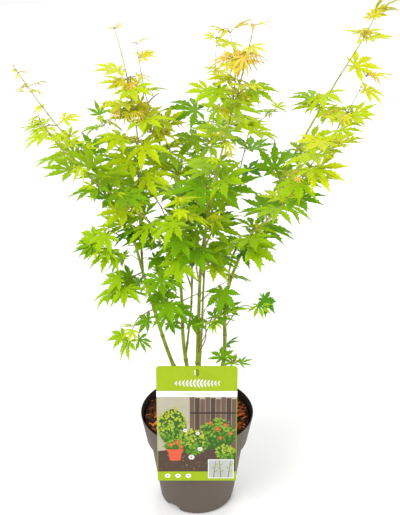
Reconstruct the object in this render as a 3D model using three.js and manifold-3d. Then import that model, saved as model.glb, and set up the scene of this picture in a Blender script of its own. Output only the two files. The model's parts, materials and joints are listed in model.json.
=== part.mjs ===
// A young Japanese maple of several stems in a plastic nursery pot, with a picture card on the rim.
// Millimetres, +Z up. The origin is the middle of the pot's flat underside, and -Y is the front.
import * as THREE from 'three';
import { mergeVertices } from 'three/addons/utils/BufferGeometryUtils.js';
import Module from 'manifold-3d';

const wasm = await Module();
wasm.setup();

// ---- driving dimensions ----
const GAP = 0.3; // clearance between two pieces that touch

const POT_HEIGHT = 175;
const RIM_RADIUS = 95;
const BASE_RADIUS = 63;
const BAND_HEIGHT = 51; // the wide band under the rim
const BAND_FOOT = POT_HEIGHT - BAND_HEIGHT;
const BAND_FOOT_RADIUS = 86;
const BODY_TOP_RADIUS = 80; // the narrower body where it meets the band
const POT_WALL = 1.6;
const POT_FLOOR = 2.4;
const BASE_ROUNDING = 5;
const POT_SEGMENTS = 32;

const DRAIN_COUNT = 3; // notches through the foot of the wall
const DRAIN_WIDTH = 22;
const DRAIN_HEIGHT = 5.5;
const DRAIN_REACH = 13; // how far each one runs in under the floor
const DRAIN_FIRST_ANGLE = 231;

const SOIL_DEPTH_BELOW_RIM = 18;
const SOIL_TOP = POT_HEIGHT - SOIL_DEPTH_BELOW_RIM;
const SOIL_UNEVENNESS = 1.6;
const SOIL_FLAT_RADIUS = 22; // level ground round the trunk
const SOIL_RING = 20; // from one ring of bumps to the next
const SOIL_BUMP = 5.3; // a sixth of the width of one bump and hollow

const TRUNK_HEIGHT = 36;
const TRUNK_RADIUS = 8;
const TRUNK_FLARE = 7.5; // how much wider the trunk is at ground level
const TRUNK_RINGS = 6;
const TRUNK_SIDES = 14;
const BUTTRESSES = 3; // root swellings round its foot
const BUTTRESS_SWELL = 0.12;

const CARD_WIDTH = 128;
const CARD_HEIGHT = 216;
const CARD_THICKNESS = 0.8;
const CARD_CORNER = 6;
const CARD_BELOW_RIM = 66;
const CARD_LEAN = 5; // degrees, backwards
const CARD_HOLE_WIDTH = 7;
const CARD_HOLE_HEIGHT = 13;
const CARD_HOLE_DROP = 12; // from the top edge to the middle of the hole
const HOOK_WIDTH = 24;
const HOOK_TOP = 26; // above the rim
const HOOK_DROP = 12; // below the rim, inside the pot
const HOOK_ARCH = 14; // height of its slope from the card over to the rim
const HOOK_DEPTH = 8; // how far it is joined down the card

// ---- what bears the leaves ----
// Each limb is a smooth curve: foot, knees and tip in mm, with its radius at the foot and at the tip.
// The stems leave the trunk, the shoots fork off a stem, and the boughs bear the lower leaves.
const LIMBS = {
  stem_left: {
    route: [[-3, -1, 182], [-40, -5, 275], [-84, -16, 455], [-112, -18, 572], [-190, 2, 676], [-256, 10, 772]],
    radii: [4.6, 0.9],
  },
  stem_inner_left: {
    route: [[-2, 1, 184], [-21, 0, 300], [-27, -5, 431], [-54, -28, 527], [-140, -70, 637], [-206, -98, 731]],
    radii: [4.6, 0.9],
  },
  stem_centre: {
    route: [[0, -2, 184], [2, -5, 330], [9, -10, 492], [38, -25, 669], [62, -32, 775], [76, -35, 842]],
    radii: [4.8, 0.9],
  },
  stem_right: {
    route: [[3, 0, 182], [41, 4, 258], [50, 10, 411], [112, 30, 556], [198, 45, 728], [264, 50, 856]],
    radii: [4.8, 0.9],
  },
  stem_back: {
    route: [[1, 3, 184], [8, 40, 320], [16, 90, 500], [26, 140, 640], [30, 170, 752]],
    radii: [4.4, 0.9],
  },
  shoot_tall_left: {
    route: [[-84, -16, 455], [-88, 12, 548], [-93, 55, 690], [-120, 75, 814]],
    radii: [2.4, 0.8],
  },
  shoot_back_left: {
    route: [[-19, 0, 278], [-8, 30, 397], [-17, 62, 535], [-60, 92, 665], [-89, 100, 776]],
    radii: [2.6, 0.8],
  },
  shoot_centre_fork: {
    route: [[36, -24, 660], [56, 4, 752], [48, 15, 828]],
    radii: [1.5, 0.8],
  },
  shoot_right_front: {
    route: [[50, 10, 411], [58, -14, 490], [121, -50, 582], [180, -75, 696], [226, -85, 794]],
    radii: [2.4, 0.8],
  },
  shoot_back_right: {
    route: [[13, 75, 450], [70, 115, 560], [140, 150, 690]],
    radii: [2.0, 0.8],
  },
  shoot_rear_left: {
    route: [[-8, 30, 397], [-62, 96, 520], [-150, 135, 640]],
    radii: [1.7, 0.8],
  },
  shoot_front: {
    route: [[5, -7, 420], [-6, -60, 520], [-22, -112, 622]],
    radii: [1.8, 0.8],
  },
  bough_left_lower: {
    route: [[-97, -18, 508], [-126, -44, 538], [-158, -56, 538]],
    radii: [1.4, 0.8],
  },
  bough_left_skirt: {
    route: [[-84, -16, 455], [-112, -62, 462], [-134, -82, 446]],
    radii: [1.5, 0.8],
  },
  bough_left_low: {
    route: [[-68, -12, 385], [-92, -38, 386], [-110, -58, 352]],
    radii: [1.4, 0.8],
  },
  bough_centre_low: {
    route: [[-23, -2, 345], [-40, -38, 396], [-52, -66, 458]],
    radii: [1.4, 0.8],
  },
  bough_front_low: {
    route: [[1, -4, 290], [18, -24, 346], [42, -46, 412]],
    radii: [1.4, 0.8],
  },
  bough_right_low: {
    route: [[47, 8, 340], [78, 0, 388], [110, -10, 396]],
    radii: [1.4, 0.8],
  },
  bough_right_foot: {
    route: [[41, 4, 258], [58, -12, 286], [82, -28, 306]],
    radii: [1.3, 0.8],
  },
  bough_right_back: {
    route: [[74, 18, 470], [108, 66, 500], [140, 104, 540]],
    radii: [1.4, 0.8],
  },
  bough_back_low: {
    route: [[11, 62, 400], [-14, 112, 446], [-24, 148, 452]],
    radii: [1.4, 0.8],
  },
};

// Each mass of leaves lies along a stretch of one limb, told in parts of its length. Above 1 it goes
// past the tip. Its half sizes are across the limb from side to side, and from front to back, and
// drop is how far it hangs below the limb.
const MASSES = {
  foliage_left_tip: { limb: 'stem_left', from: 0.75, to: 1.03, across: 42, through: 26, drop: 6 },
  foliage_left_upper: { limb: 'stem_left', from: 0.53, to: 0.75, across: 46, through: 28, drop: 0 },
  foliage_left_front: { limb: 'stem_inner_left', from: 0.71, to: 1.05, across: 44, through: 32, drop: 10 },
  foliage_left_middle: { limb: 'stem_inner_left', from: 0.5, to: 0.7, across: 48, through: 32, drop: 14 },
  foliage_left_lower: { limb: 'bough_left_lower', from: 0.4, to: 1.5, across: 46, through: 34, drop: 8 },
  foliage_left_skirt: { limb: 'bough_left_skirt', from: 0.35, to: 1.5, across: 40, through: 34, drop: 2 },
  foliage_left_low: { limb: 'bough_left_low', from: 0.45, to: 1.6, across: 30, through: 24, drop: 0 },
  foliage_tall_left_tip: { limb: 'shoot_tall_left', from: 0.6, to: 1.02, across: 40, through: 32, drop: 0 },
  foliage_tall_left: { limb: 'shoot_tall_left', from: 0.24, to: 0.58, across: 40, through: 32, drop: 4 },
  foliage_back_left_tip: { limb: 'shoot_back_left', from: 0.72, to: 1.03, across: 42, through: 34, drop: 4 },
  foliage_back_left: { limb: 'shoot_back_left', from: 0.42, to: 0.71, across: 46, through: 32, drop: 8 },
  foliage_rear_left: { limb: 'shoot_rear_left', from: 0.5, to: 1.08, across: 48, through: 36, drop: 8 },
  foliage_centre_tip: { limb: 'stem_centre', from: 0.8, to: 1.03, across: 42, through: 30, drop: 2 },
  foliage_fork_tip: { limb: 'shoot_centre_fork', from: 0.4, to: 1.05, across: 34, through: 28, drop: 2 },
  foliage_centre_upper: { limb: 'stem_centre', from: 0.6, to: 0.81, across: 72, through: 36, drop: 0 },
  foliage_centre: { limb: 'stem_centre', from: 0.4, to: 0.59, across: 50, through: 32, drop: 0 },
  foliage_centre_low: { limb: 'bough_centre_low', from: 0.35, to: 1.2, across: 36, through: 30, drop: 4 },
  foliage_front: { limb: 'shoot_front', from: 0.38, to: 1.1, across: 56, through: 34, drop: 4 },
  foliage_front_low: { limb: 'bough_front_low', from: 0.35, to: 1.25, across: 42, through: 30, drop: 4 },
  foliage_right_tip: { limb: 'stem_right', from: 0.84, to: 1.04, across: 38, through: 26, drop: 4 },
  foliage_right_upper: { limb: 'stem_right', from: 0.64, to: 0.84, across: 48, through: 32, drop: 0 },
  foliage_right_middle: { limb: 'stem_right', from: 0.42, to: 0.63, across: 44, through: 30, drop: 4 },
  foliage_right_front_tip: { limb: 'shoot_right_front', from: 0.68, to: 1.04, across: 42, through: 32, drop: 8 },
  foliage_right_front: { limb: 'shoot_right_front', from: 0.38, to: 0.68, across: 52, through: 36, drop: 8 },
  foliage_right_inner: { limb: 'shoot_right_front', from: 0.14, to: 0.37, across: 44, through: 30, drop: 10 },
  foliage_right_low: { limb: 'bough_right_low', from: 0.5, to: 1.35, across: 36, through: 28, drop: 6 },
  foliage_right_foot: { limb: 'bough_right_foot', from: 0.35, to: 1.4, across: 24, through: 22, drop: 0 },
  foliage_right_back: { limb: 'bough_right_back', from: 0.3, to: 1.2, across: 46, through: 38, drop: 6 },
  foliage_back_tip: { limb: 'stem_back', from: 0.78, to: 1.04, across: 44, through: 34, drop: 4 },
  foliage_back: { limb: 'stem_back', from: 0.5, to: 0.77, across: 48, through: 32, drop: 8 },
  foliage_back_low: { limb: 'bough_back_low', from: 0.3, to: 1.4, across: 42, through: 32, drop: 6 },
  foliage_back_right: { limb: 'shoot_back_right', from: 0.42, to: 1.08, across: 50, through: 36, drop: 8 },
};

const LIMB_SIDES = 6;
const LIMB_STEP = 46; // mm between the rings of a limb
const LIMB_TAPER = 0.8; // below 1 a limb thins soonest near its foot
const MASS_SIDES = 8;
const MASS_RINGS = 6;
const LEAF_TIERS = 3; // swellings along a mass
const TIER_SWELL = 0.14;
const LOBES = 3; // uneven bulges round a mass
const LOBE_SWELL = 0.2;
const LOBE_TWIST = 7; // radians from the foot of a mass to its far end
const LOBE_TURN = 1.7; // radians from one mass to the next
const BELLY_SHIFT = 0.85; // below 1 a mass is fullest nearer its foot
const BELLY_BLUNTNESS = 0.85; // below 1 its ends are blunter

const DEGREE = Math.PI / 180;
const FRONT_TO_BACK = new THREE.Vector3(0, 1, 0);

const finish = (color, roughness) => new THREE.MeshStandardMaterial({ color, roughness, metalness: 0 });
const POT_PLASTIC = finish(0x75695e, 0.55);
const SOIL = finish(0x4a3020, 0.95);
const CARD = finish(0xaeca20, 0.4);
const OLD_BARK = finish(0x6f7a2c, 0.7);
const YOUNG_BARK = finish(0x8c7a3c, 0.65);
const LEAF_DEEP = finish(0x4f8f12, 0.55);
const LEAF_BRIGHT = finish(0x9fc414, 0.55);

// ---- solids ----
function solidOf(geometry) {
  const bare = geometry.clone();
  bare.deleteAttribute('normal');
  bare.deleteAttribute('uv');
  const merged = mergeVertices(bare, 1e-4);
  const mesh = new wasm.Mesh({
    numProp: 3,
    vertProperties: new Float32Array(merged.attributes.position.array),
    triVerts: new Uint32Array(merged.index.array),
  });
  return new wasm.Manifold(mesh);
}

function geometryOf(solid) {
  const mesh = solid.getMesh();
  const geometry = new THREE.BufferGeometry();
  geometry.setAttribute('position', new THREE.BufferAttribute(mesh.vertProperties.slice(), 3));
  geometry.setIndex(new THREE.BufferAttribute(mesh.triVerts.slice(), 1));
  geometry.computeVertexNormals();
  return geometry;
}

function largestBody(solid) {
  const bodies = solid.decompose();
  return bodies.reduce((best, body) => (body.volume() > best.volume() ? body : best));
}

function nearby(a, b) {
  const one = a.boundingBox();
  const other = b.boundingBox();
  return [0, 1, 2].every((k) => one.min[k] < other.max[k] && other.min[k] < one.max[k]);
}

function cutRound(solid, others) {
  const near = others.filter((other) => nearby(solid, other));
  return near.reduce((rest, other) => largestBody(rest.subtract(other)), solid);
}

function bend(geometry, place) {
  const position = geometry.attributes.position;
  const vertex = new THREE.Vector3();
  for (let i = 0; i < position.count; i += 1) {
    vertex.fromBufferAttribute(position, i);
    position.setXYZ(i, ...place(vertex).toArray());
  }
  return geometry;
}

// ---- limbs ----
const curves = Object.fromEntries(Object.entries(LIMBS).map(([name, limb]) => {
  const knees = limb.route.map((point) => new THREE.Vector3(...point));
  return [name, new THREE.CatmullRomCurve3(knees, false, 'centripetal')];
}));

function limbPoint(name, part) {
  const curve = curves[name];
  const inside = Math.min(part, 1);
  const along = curve.getTangentAt(inside);
  return curve.getPointAt(inside).addScaledVector(along, (part - inside) * curve.getLength());
}

function crossAxes(name, part) {
  const along = curves[name].getTangentAt(Math.min(part, 1));
  const across = new THREE.Vector3().crossVectors(along, FRONT_TO_BACK).normalize();
  const through = new THREE.Vector3().crossVectors(across, along).normalize();
  return { across, through };
}

function limbSolid(name, grow) {
  const [footRadius, tipRadius] = LIMBS[name].radii;
  const length = curves[name].getLength();
  const rings = Math.round(length / LIMB_STEP);
  const straight = new THREE.CylinderGeometry(1, 1, 1, LIMB_SIDES, rings);
  return solidOf(bend(straight, ({ x, y, z }) => {
    const part = y + 0.5;
    const radius = THREE.MathUtils.lerp(footRadius, tipRadius, part ** LIMB_TAPER) + grow;
    const { across, through } = crossAxes(name, part);
    const point = limbPoint(name, part).addScaledVector(across, x * radius);
    return point.addScaledVector(through, z * radius);
  }));
}

function trunkSolid(grow) {
  const outline = [new THREE.Vector2(0, 0)];
  for (let i = 0; i <= TRUNK_RINGS; i += 1) {
    const up = i / TRUNK_RINGS;
    const radius = TRUNK_RADIUS + TRUNK_FLARE * (1 - up) ** 3 + grow;
    outline.push(new THREE.Vector2(radius, up * (TRUNK_HEIGHT + grow)));
  }
  outline.push(new THREE.Vector2(0, TRUNK_HEIGHT + grow));
  const round = new THREE.LatheGeometry(outline, TRUNK_SIDES);
  return solidOf(bend(round, ({ x, y, z }) => {
    const wave = Math.sin(BUTTRESSES * Math.atan2(z, x));
    const buttress = 1 + BUTTRESS_SWELL * wave * (1 - y / TRUNK_HEIGHT);
    return new THREE.Vector3(x * buttress, -z * buttress, SOIL_TOP + GAP + y);
  }));
}

// ---- masses of leaves ----
function massSolid(name, order, grow) {
  const { limb, from, to, across: wide, through: deep, drop } = MASSES[name];
  const ball = new THREE.SphereGeometry(1, MASS_SIDES, MASS_RINGS);
  const overrun = grow / ((to - from) * curves[limb].getLength());
  return solidOf(bend(ball, ({ x, y, z }) => {
    const share = Math.acos(THREE.MathUtils.clamp(-y, -1, 1)) / Math.PI;
    const part = THREE.MathUtils.lerp(from, to, share * (1 + 2 * overrun) - overrun);
    const angle = Math.atan2(z, x);
    const tiers = TIER_SWELL * Math.cos(LEAF_TIERS * 2 * Math.PI * share);
    const lobes = LOBE_SWELL * Math.sin(LOBES * angle + LOBE_TWIST * share + LOBE_TURN * order);
    const belly = Math.sin(Math.PI * share ** BELLY_SHIFT) ** BELLY_BLUNTNESS;
    const swell = belly * (1 + lobes - tiers);
    const roundness = Math.sin(Math.PI * share);
    const { across, through } = crossAxes(limb, part);
    const point = limbPoint(limb, part);
    point.z -= drop * roundness;
    point.addScaledVector(across, Math.cos(angle) * (wide * swell + grow * roundness));
    return point.addScaledVector(through, Math.sin(angle) * (deep * swell + grow * roundness));
  }));
}

// ---- pot, soil and card ----
function bodyRadius(height) {
  return THREE.MathUtils.lerp(BASE_RADIUS, BODY_TOP_RADIUS, height / BAND_FOOT);
}

function bandRadius(height) {
  return THREE.MathUtils.lerp(BAND_FOOT_RADIUS, RIM_RADIUS, (height - BAND_FOOT) / BAND_HEIGHT);
}

function lathed(points) {
  const profile = points.map(([radius, height]) => new THREE.Vector2(radius, height));
  const round = new THREE.LatheGeometry(profile, POT_SEGMENTS);
  return bend(round, ({ x, y, z }) => new THREE.Vector3(x, -z, y));
}

// The hollow of the pot from the top down, drawn in from its walls by some clearance.
function hollowOutline(top, clear) {
  const inset = POT_WALL + clear;
  return [
    [bandRadius(top) - inset, top],
    [bandRadius(BAND_FOOT + 3) - inset, BAND_FOOT + 3 + clear],
    [bodyRadius(BAND_FOOT) - inset, BAND_FOOT - 1 + clear],
    [bodyRadius(BASE_ROUNDING) - inset, BASE_ROUNDING + 1 + clear],
    [BASE_RADIUS - BASE_ROUNDING - clear, POT_FLOOR + clear],
    [0, POT_FLOOR + clear],
  ];
}

function potSolid() {
  const outside = [
    [0, 0],
    [BASE_RADIUS - BASE_ROUNDING, 0],
    [BASE_RADIUS - 1.2, 1.5],
    [bodyRadius(BASE_ROUNDING), BASE_ROUNDING],
    [bodyRadius(BAND_FOOT - 2), BAND_FOOT - 2],
    [BAND_FOOT_RADIUS - 1, BAND_FOOT - 0.5],
    [bandRadius(BAND_FOOT + 1), BAND_FOOT + 1],
    [RIM_RADIUS, POT_HEIGHT],
  ];
  return cutRound(solidOf(lathed([...outside, ...hollowOutline(POT_HEIGHT, 0)])), drainSolids());
}

function drainSolids() {
  return Array.from({ length: DRAIN_COUNT }, (_, i) => {
    const angle = (DRAIN_FIRST_ANGLE + (i * 360) / DRAIN_COUNT) * DEGREE;
    const notch = new THREE.CylinderGeometry(1, 1, DRAIN_REACH, 16);
    notch.rotateZ(Math.PI / 2);
    notch.scale(1, DRAIN_WIDTH / 2, DRAIN_HEIGHT);
    notch.translate(BASE_RADIUS + 2 - DRAIN_REACH / 2, 0, 0);
    notch.rotateZ(angle);
    return solidOf(notch);
  });
}

function soilSolid() {
  const surface = [[0, SOIL_TOP], [SOIL_FLAT_RADIUS, SOIL_TOP]];
  for (let radius = SOIL_FLAT_RADIUS + SOIL_RING; radius < RIM_RADIUS - SOIL_RING; radius += SOIL_RING) {
    surface.push([radius, SOIL_TOP]);
  }
  const outline = [...surface, ...hollowOutline(SOIL_TOP - 2 * SOIL_UNEVENNESS, GAP)];
  const bed = bend(lathed(outline.reverse()), (vertex) => {
    const ruffled = vertex.z === SOIL_TOP && Math.hypot(vertex.x, vertex.y) > SOIL_FLAT_RADIUS + 1;
    const wave = Math.sin(vertex.x / SOIL_BUMP + 1) * Math.cos(vertex.y / SOIL_BUMP);
    vertex.z += ruffled ? wave * SOIL_UNEVENNESS : 0;
    return vertex;
  });
  return solidOf(bed);
}

function cardOutline() {
  const side = CARD_WIDTH / 2;
  const outline = new THREE.Shape();
  outline.moveTo(-side, 0);
  outline.lineTo(side, 0);
  outline.lineTo(side, CARD_HEIGHT - CARD_CORNER);
  outline.absarc(side - CARD_CORNER, CARD_HEIGHT - CARD_CORNER, CARD_CORNER, 0, Math.PI / 2, false);
  outline.lineTo(-side + CARD_CORNER, CARD_HEIGHT);
  outline.absarc(-side + CARD_CORNER, CARD_HEIGHT - CARD_CORNER, CARD_CORNER, Math.PI / 2, Math.PI, false);
  const round = CARD_HOLE_WIDTH / 2;
  const middle = CARD_HEIGHT - CARD_HOLE_DROP;
  const straight = CARD_HOLE_HEIGHT / 2 - round;
  const hole = new THREE.Path();
  hole.absarc(0, middle + straight, round, 0, Math.PI, false);
  hole.absarc(0, middle - straight, round, Math.PI, 2 * Math.PI, false);
  outline.holes.push(hole);
  return outline;
}

function cardSolid() {
  const lean = CARD_LEAN * DEGREE;
  const flat = { depth: CARD_THICKNESS, bevelEnabled: false, curveSegments: 5 };
  const sheet = new THREE.ExtrudeGeometry(cardOutline(), flat);
  sheet.translate(0, -CARD_BELOW_RIM, 0);
  sheet.rotateX(Math.PI / 2 - lean);
  sheet.translate(0, -RIM_RADIUS - 2 * GAP, POT_HEIGHT);
  const backAt = (above) => -RIM_RADIUS - 2 * GAP + above * Math.tan(lean);
  const innerRadius = (height) => bandRadius(height) - POT_WALL;
  const wallAt = (height) => 2 * GAP - Math.sqrt(innerRadius(height) ** 2 - (HOOK_WIDTH / 2) ** 2);
  const rimFace = wallAt(POT_HEIGHT);
  const lowFace = wallAt(POT_HEIGHT - HOOK_DROP);
  const profile = [
    [backAt(HOOK_TOP) - CARD_THICKNESS / 2, HOOK_TOP],
    [rimFace + CARD_THICKNESS, HOOK_TOP - HOOK_ARCH],
    [rimFace + CARD_THICKNESS, 0],
    [lowFace + CARD_THICKNESS, -HOOK_DROP],
    [lowFace, -HOOK_DROP],
    [rimFace, 0],
    [rimFace, HOOK_TOP - HOOK_ARCH - HOOK_DEPTH / 2],
    [backAt(HOOK_TOP - HOOK_DEPTH) - CARD_THICKNESS / 2, HOOK_TOP - HOOK_DEPTH],
  ];
  const strip = new THREE.Shape(profile.map(([y, z]) => new THREE.Vector2(y, z)));
  const hook = new THREE.ExtrudeGeometry(strip, { depth: HOOK_WIDTH, bevelEnabled: false });
  bend(hook, ({ x, y, z }) => new THREE.Vector3(z - HOOK_WIDTH / 2, x, POT_HEIGHT + y));
  return solidOf(sheet).add(solidOf(hook));
}

// ---- the whole plant ----
const plant = new THREE.Group();

function addPiece(name, solid, material) {
  const mesh = new THREE.Mesh(geometryOf(solid), material);
  mesh.name = name;
  plant.add(mesh);
}

function growLimbs() {
  const limbs = {};
  const taken = [trunkSolid(GAP)];
  for (const name of Object.keys(LIMBS)) {
    limbs[name] = cutRound(limbSolid(name, 0), taken);
    taken.push(limbSolid(name, GAP));
  }
  return limbs;
}

function addPlant() {
  const limbs = growLimbs();
  const taken = [];
  Object.entries(MASSES).forEach(([name, mass], order) => {
    const endsHere = mass.to > 1;
    const through = Object.keys(LIMBS).filter((limb) => limb !== mass.limb || !endsHere);
    const clear = [...taken, ...through.map((limb) => limbSolid(limb, GAP))];
    addPiece(name, cutRound(massSolid(name, order, 0), clear), endsHere ? LEAF_BRIGHT : LEAF_DEEP);
    taken.push(massSolid(name, order, GAP));
    if (endsHere) {
      limbs[mass.limb] = cutRound(limbs[mass.limb], [massSolid(name, order, GAP)]);
    }
  });
  for (const [name, solid] of Object.entries(limbs)) {
    addPiece(name, solid, name.startsWith('stem') ? OLD_BARK : YOUNG_BARK);
  }
}

addPiece('pot', potSolid(), POT_PLASTIC);
addPiece('bark_mulch_and_soil', soilSolid(), SOIL);
addPiece('trunk', trunkSolid(0), OLD_BARK);
addPiece('picture_card', cardSolid(), CARD);
addPlant();

export default plant;
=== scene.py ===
import json
import math
import random
from collections import Counter

import bmesh
import bpy
import numpy as np
from bpy.props import FloatProperty, FloatVectorProperty, IntProperty, PointerProperty
from mathutils import Matrix, Vector, noise
from mathutils.bvhtree import BVHTree

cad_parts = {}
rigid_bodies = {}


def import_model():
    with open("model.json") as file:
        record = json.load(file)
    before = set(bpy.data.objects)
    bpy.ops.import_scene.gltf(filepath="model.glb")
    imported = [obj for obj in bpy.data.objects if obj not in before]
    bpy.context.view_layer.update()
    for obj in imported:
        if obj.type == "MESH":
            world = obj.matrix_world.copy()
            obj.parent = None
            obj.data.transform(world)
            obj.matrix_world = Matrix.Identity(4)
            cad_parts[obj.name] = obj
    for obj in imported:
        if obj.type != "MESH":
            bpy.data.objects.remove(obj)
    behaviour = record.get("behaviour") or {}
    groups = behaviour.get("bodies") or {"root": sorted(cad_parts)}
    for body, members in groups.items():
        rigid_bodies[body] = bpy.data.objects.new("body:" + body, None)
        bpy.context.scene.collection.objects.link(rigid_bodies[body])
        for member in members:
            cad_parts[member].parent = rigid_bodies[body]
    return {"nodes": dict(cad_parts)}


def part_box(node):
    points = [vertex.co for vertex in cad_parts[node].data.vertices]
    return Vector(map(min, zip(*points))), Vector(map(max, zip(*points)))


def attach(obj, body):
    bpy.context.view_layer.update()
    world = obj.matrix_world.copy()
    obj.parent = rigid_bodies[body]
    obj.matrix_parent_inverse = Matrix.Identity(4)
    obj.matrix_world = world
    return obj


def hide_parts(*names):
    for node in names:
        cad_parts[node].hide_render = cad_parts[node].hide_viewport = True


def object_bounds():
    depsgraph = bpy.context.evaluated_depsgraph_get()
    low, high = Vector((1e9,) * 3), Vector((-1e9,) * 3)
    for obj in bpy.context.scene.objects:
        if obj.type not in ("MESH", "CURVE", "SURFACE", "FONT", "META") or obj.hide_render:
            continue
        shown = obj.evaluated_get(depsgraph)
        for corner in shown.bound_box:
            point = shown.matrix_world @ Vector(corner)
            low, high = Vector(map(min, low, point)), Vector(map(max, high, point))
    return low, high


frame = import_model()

bl_info = {
    "name": "Potted Japanese Maple",
    "version": (1, 0, 0),
    "blender": (4, 5, 0),
    "location": "View3D > Sidebar > Maple",
    "description": "Grows a young Japanese maple with its nursery pot, bark mulch and picture card",
    "category": "Add Mesh",
}

CAD_BOX = [[float(v) for v in corner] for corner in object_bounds()]
NODES = frame["nodes"]
LIMB_NODES = [name for name in sorted(NODES) if name.startswith(("stem_", "shoot_", "bough_"))]
POT_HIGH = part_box("pot")[1]
SOIL_LOW, SOIL_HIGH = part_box("bark_mulch_and_soil")
TRUNK_LOW, TRUNK_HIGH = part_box("trunk")
UP = Vector((0, 0, 1))
FRONT = Vector((0, -1, 0))

# How each mass of leaves is grown: the limb that bears it, the length of a full leaf's middle lobe and
# the distance between leaf pairs in metres, how golden its leaves are (0 deep green, 1 amber), how far the
# leaves droop in degrees, and how often a young hanging leaf stands beside a pair.
# Each mass's goldenness is partly the leaves' own colour and partly painted shade: masses deep in the crown
# are given deeper greens.
SPRAYS = {
    "foliage_left_tip": ("stem_left", 0.036, 0.026, 0.62, 0, 0.30),
    "foliage_left_upper": ("stem_left", 0.058, 0.030, 0.42, 0, 0.25),
    "foliage_left_front": ("stem_inner_left", 0.058, 0.034, 0.46, 2, 0.30),
    "foliage_left_middle": ("stem_inner_left", 0.062, 0.029, 0.42, 5, 0.12),
    "foliage_left_lower": ("bough_left_lower", 0.046, 0.044, 0.38, 12, 0.12),
    "foliage_left_skirt": ("bough_left_skirt", 0.042, 0.034, 0.38, 10, 0.12),
    "foliage_left_low": ("bough_left_low", 0.034, 0.034, 0.42, 18, 0.12),
    "foliage_tall_left_tip": ("shoot_tall_left", 0.062, 0.024, 0.66, -3, 0.25),
    "foliage_tall_left": ("shoot_tall_left", 0.060, 0.025, 0.50, -2, 0.25),
    "foliage_back_left_tip": ("shoot_back_left", 0.056, 0.027, 0.60, -2, 0.25),
    "foliage_back_left": ("shoot_back_left", 0.060, 0.026, 0.42, 0, 0.20),
    "foliage_rear_left": ("shoot_rear_left", 0.056, 0.034, 0.36, 3, 0.12),
    "foliage_centre_tip": ("stem_centre", 0.052, 0.024, 0.66, -3, 0.40),
    "foliage_fork_tip": ("shoot_centre_fork", 0.048, 0.024, 0.64, -3, 0.30),
    "foliage_centre_upper": ("stem_centre", 0.066, 0.026, 0.44, -4, 0.30),
    "foliage_centre": ("stem_centre", 0.064, 0.028, 0.38, 2, 0.12),
    "foliage_centre_low": ("bough_centre_low", 0.042, 0.040, 0.36, 18, 0.12),
    "foliage_front": ("shoot_front", 0.062, 0.037, 0.38, 10, 0.12),
    "foliage_front_low": ("bough_front_low", 0.044, 0.100, 0.36, -14, 0.12),
    "foliage_right_tip": ("stem_right", 0.058, 0.044, 0.68, 0, 0.20),
    "foliage_right_upper": ("stem_right", 0.056, 0.025, 0.50, -3, 0.30),
    "foliage_right_middle": ("stem_right", 0.060, 0.028, 0.42, -2, 0.12),
    "foliage_right_front_tip": ("shoot_right_front", 0.056, 0.024, 0.62, 0, 0.25),
    "foliage_right_front": ("shoot_right_front", 0.058, 0.026, 0.44, 2, 0.12),
    "foliage_right_inner": ("shoot_right_front", 0.058, 0.027, 0.41, 4, 0.12),
    "foliage_right_low": ("bough_right_low", 0.034, 0.070, 0.36, 24, 0.12),
    "foliage_right_foot": ("bough_right_foot", 0.030, 0.060, 0.38, -16, 0.12),
    "foliage_right_back": ("bough_right_back", 0.052, 0.031, 0.37, 0, 0.12),
    "foliage_back_tip": ("stem_back", 0.046, 0.026, 0.54, -3, 0.40),
    "foliage_back": ("stem_back", 0.056, 0.025, 0.36, 0, 0.12),
    "foliage_back_low": ("bough_back_low", 0.052, 0.030, 0.36, 4, 0.12),
    "foliage_back_right": ("shoot_back_right", 0.052, 0.034, 0.44, 0, 0.12),
}

# How much smaller than a full leaf the last leaves of a shoot are.
FADES = {
    "foliage_left_tip": 0.78, "foliage_tall_left_tip": 0.76, "foliage_back_left_tip": 0.62,
    "foliage_centre_tip": 0.58, "foliage_fork_tip": 0.25, "foliage_right_tip": 0.15,
    "foliage_right_front_tip": 0.35, "foliage_back_tip": 0.50,
}

# How steeply the leaves that end a shoot rise, in degrees, where they close round it.
RISES = {"foliage_right_tip": 58, "foliage_left_tip": 40}

# Where the wood of a leaning tip or low bough ends, as a share of its mass's length; leaves reach on.
ENDS = {
    "foliage_right_tip": 0.67, "foliage_right_front_tip": 0.93, "foliage_left_lower": 0.20,
    "foliage_left_skirt": 0.26, "foliage_left_low": 0.30, "foliage_right_low": 0.38,
    "foliage_right_foot": 0.20, "foliage_front_low": 0.46, "foliage_back_right": 0.68,
}

# Lone leaf pairs between the sprays: limb, height, compass turn of the pair in degrees, lobe length,
# goldenness and droop in degrees, less than nothing where the pair rises.
LONE_LEAVES = [
    ("stem_inner_left", 0.358, 330, 0.034, 0.34, 24),
    ("stem_right", 0.414, 248, 0.044, 0.30, 34),
    ("stem_left", 0.352, 345, 0.030, 0.30, 20),
    ("stem_left", 0.478, 350, 0.044, 0.32, 24),
    ("stem_inner_left", 0.478, 285, 0.052, 0.45, 30),
    ("stem_left", 0.420, 320, 0.038, 0.34, 30),
    ("stem_centre", 0.465, 320, 0.040, 0.44, 24),
    ("stem_left", 0.632, 92, 0.050, 0.44, -50),
    ("stem_right", 0.586, 105, 0.052, 0.38, -55),
    ("stem_right", 0.700, 114, 0.047, 0.48, -12),
    ("shoot_tall_left", 0.652, 205, 0.050, 0.52, 0),
    ("stem_back", 0.655, 190, 0.056, 0.44, -10),
    ("shoot_right_front", 0.500, 345, 0.050, 0.36, 20),
    ("stem_left", 0.445, 15, 0.040, 0.36, 24),
    ("stem_right", 0.282, 80, 0.032, 0.30, -58),
    ("stem_centre", 0.756, 8, 0.042, 0.46, -4),
    ("stem_back", 0.610, 195, 0.052, 0.36, 10),
    ("stem_right", 0.868, 62, 0.021, 0.76, -42),
]

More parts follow.
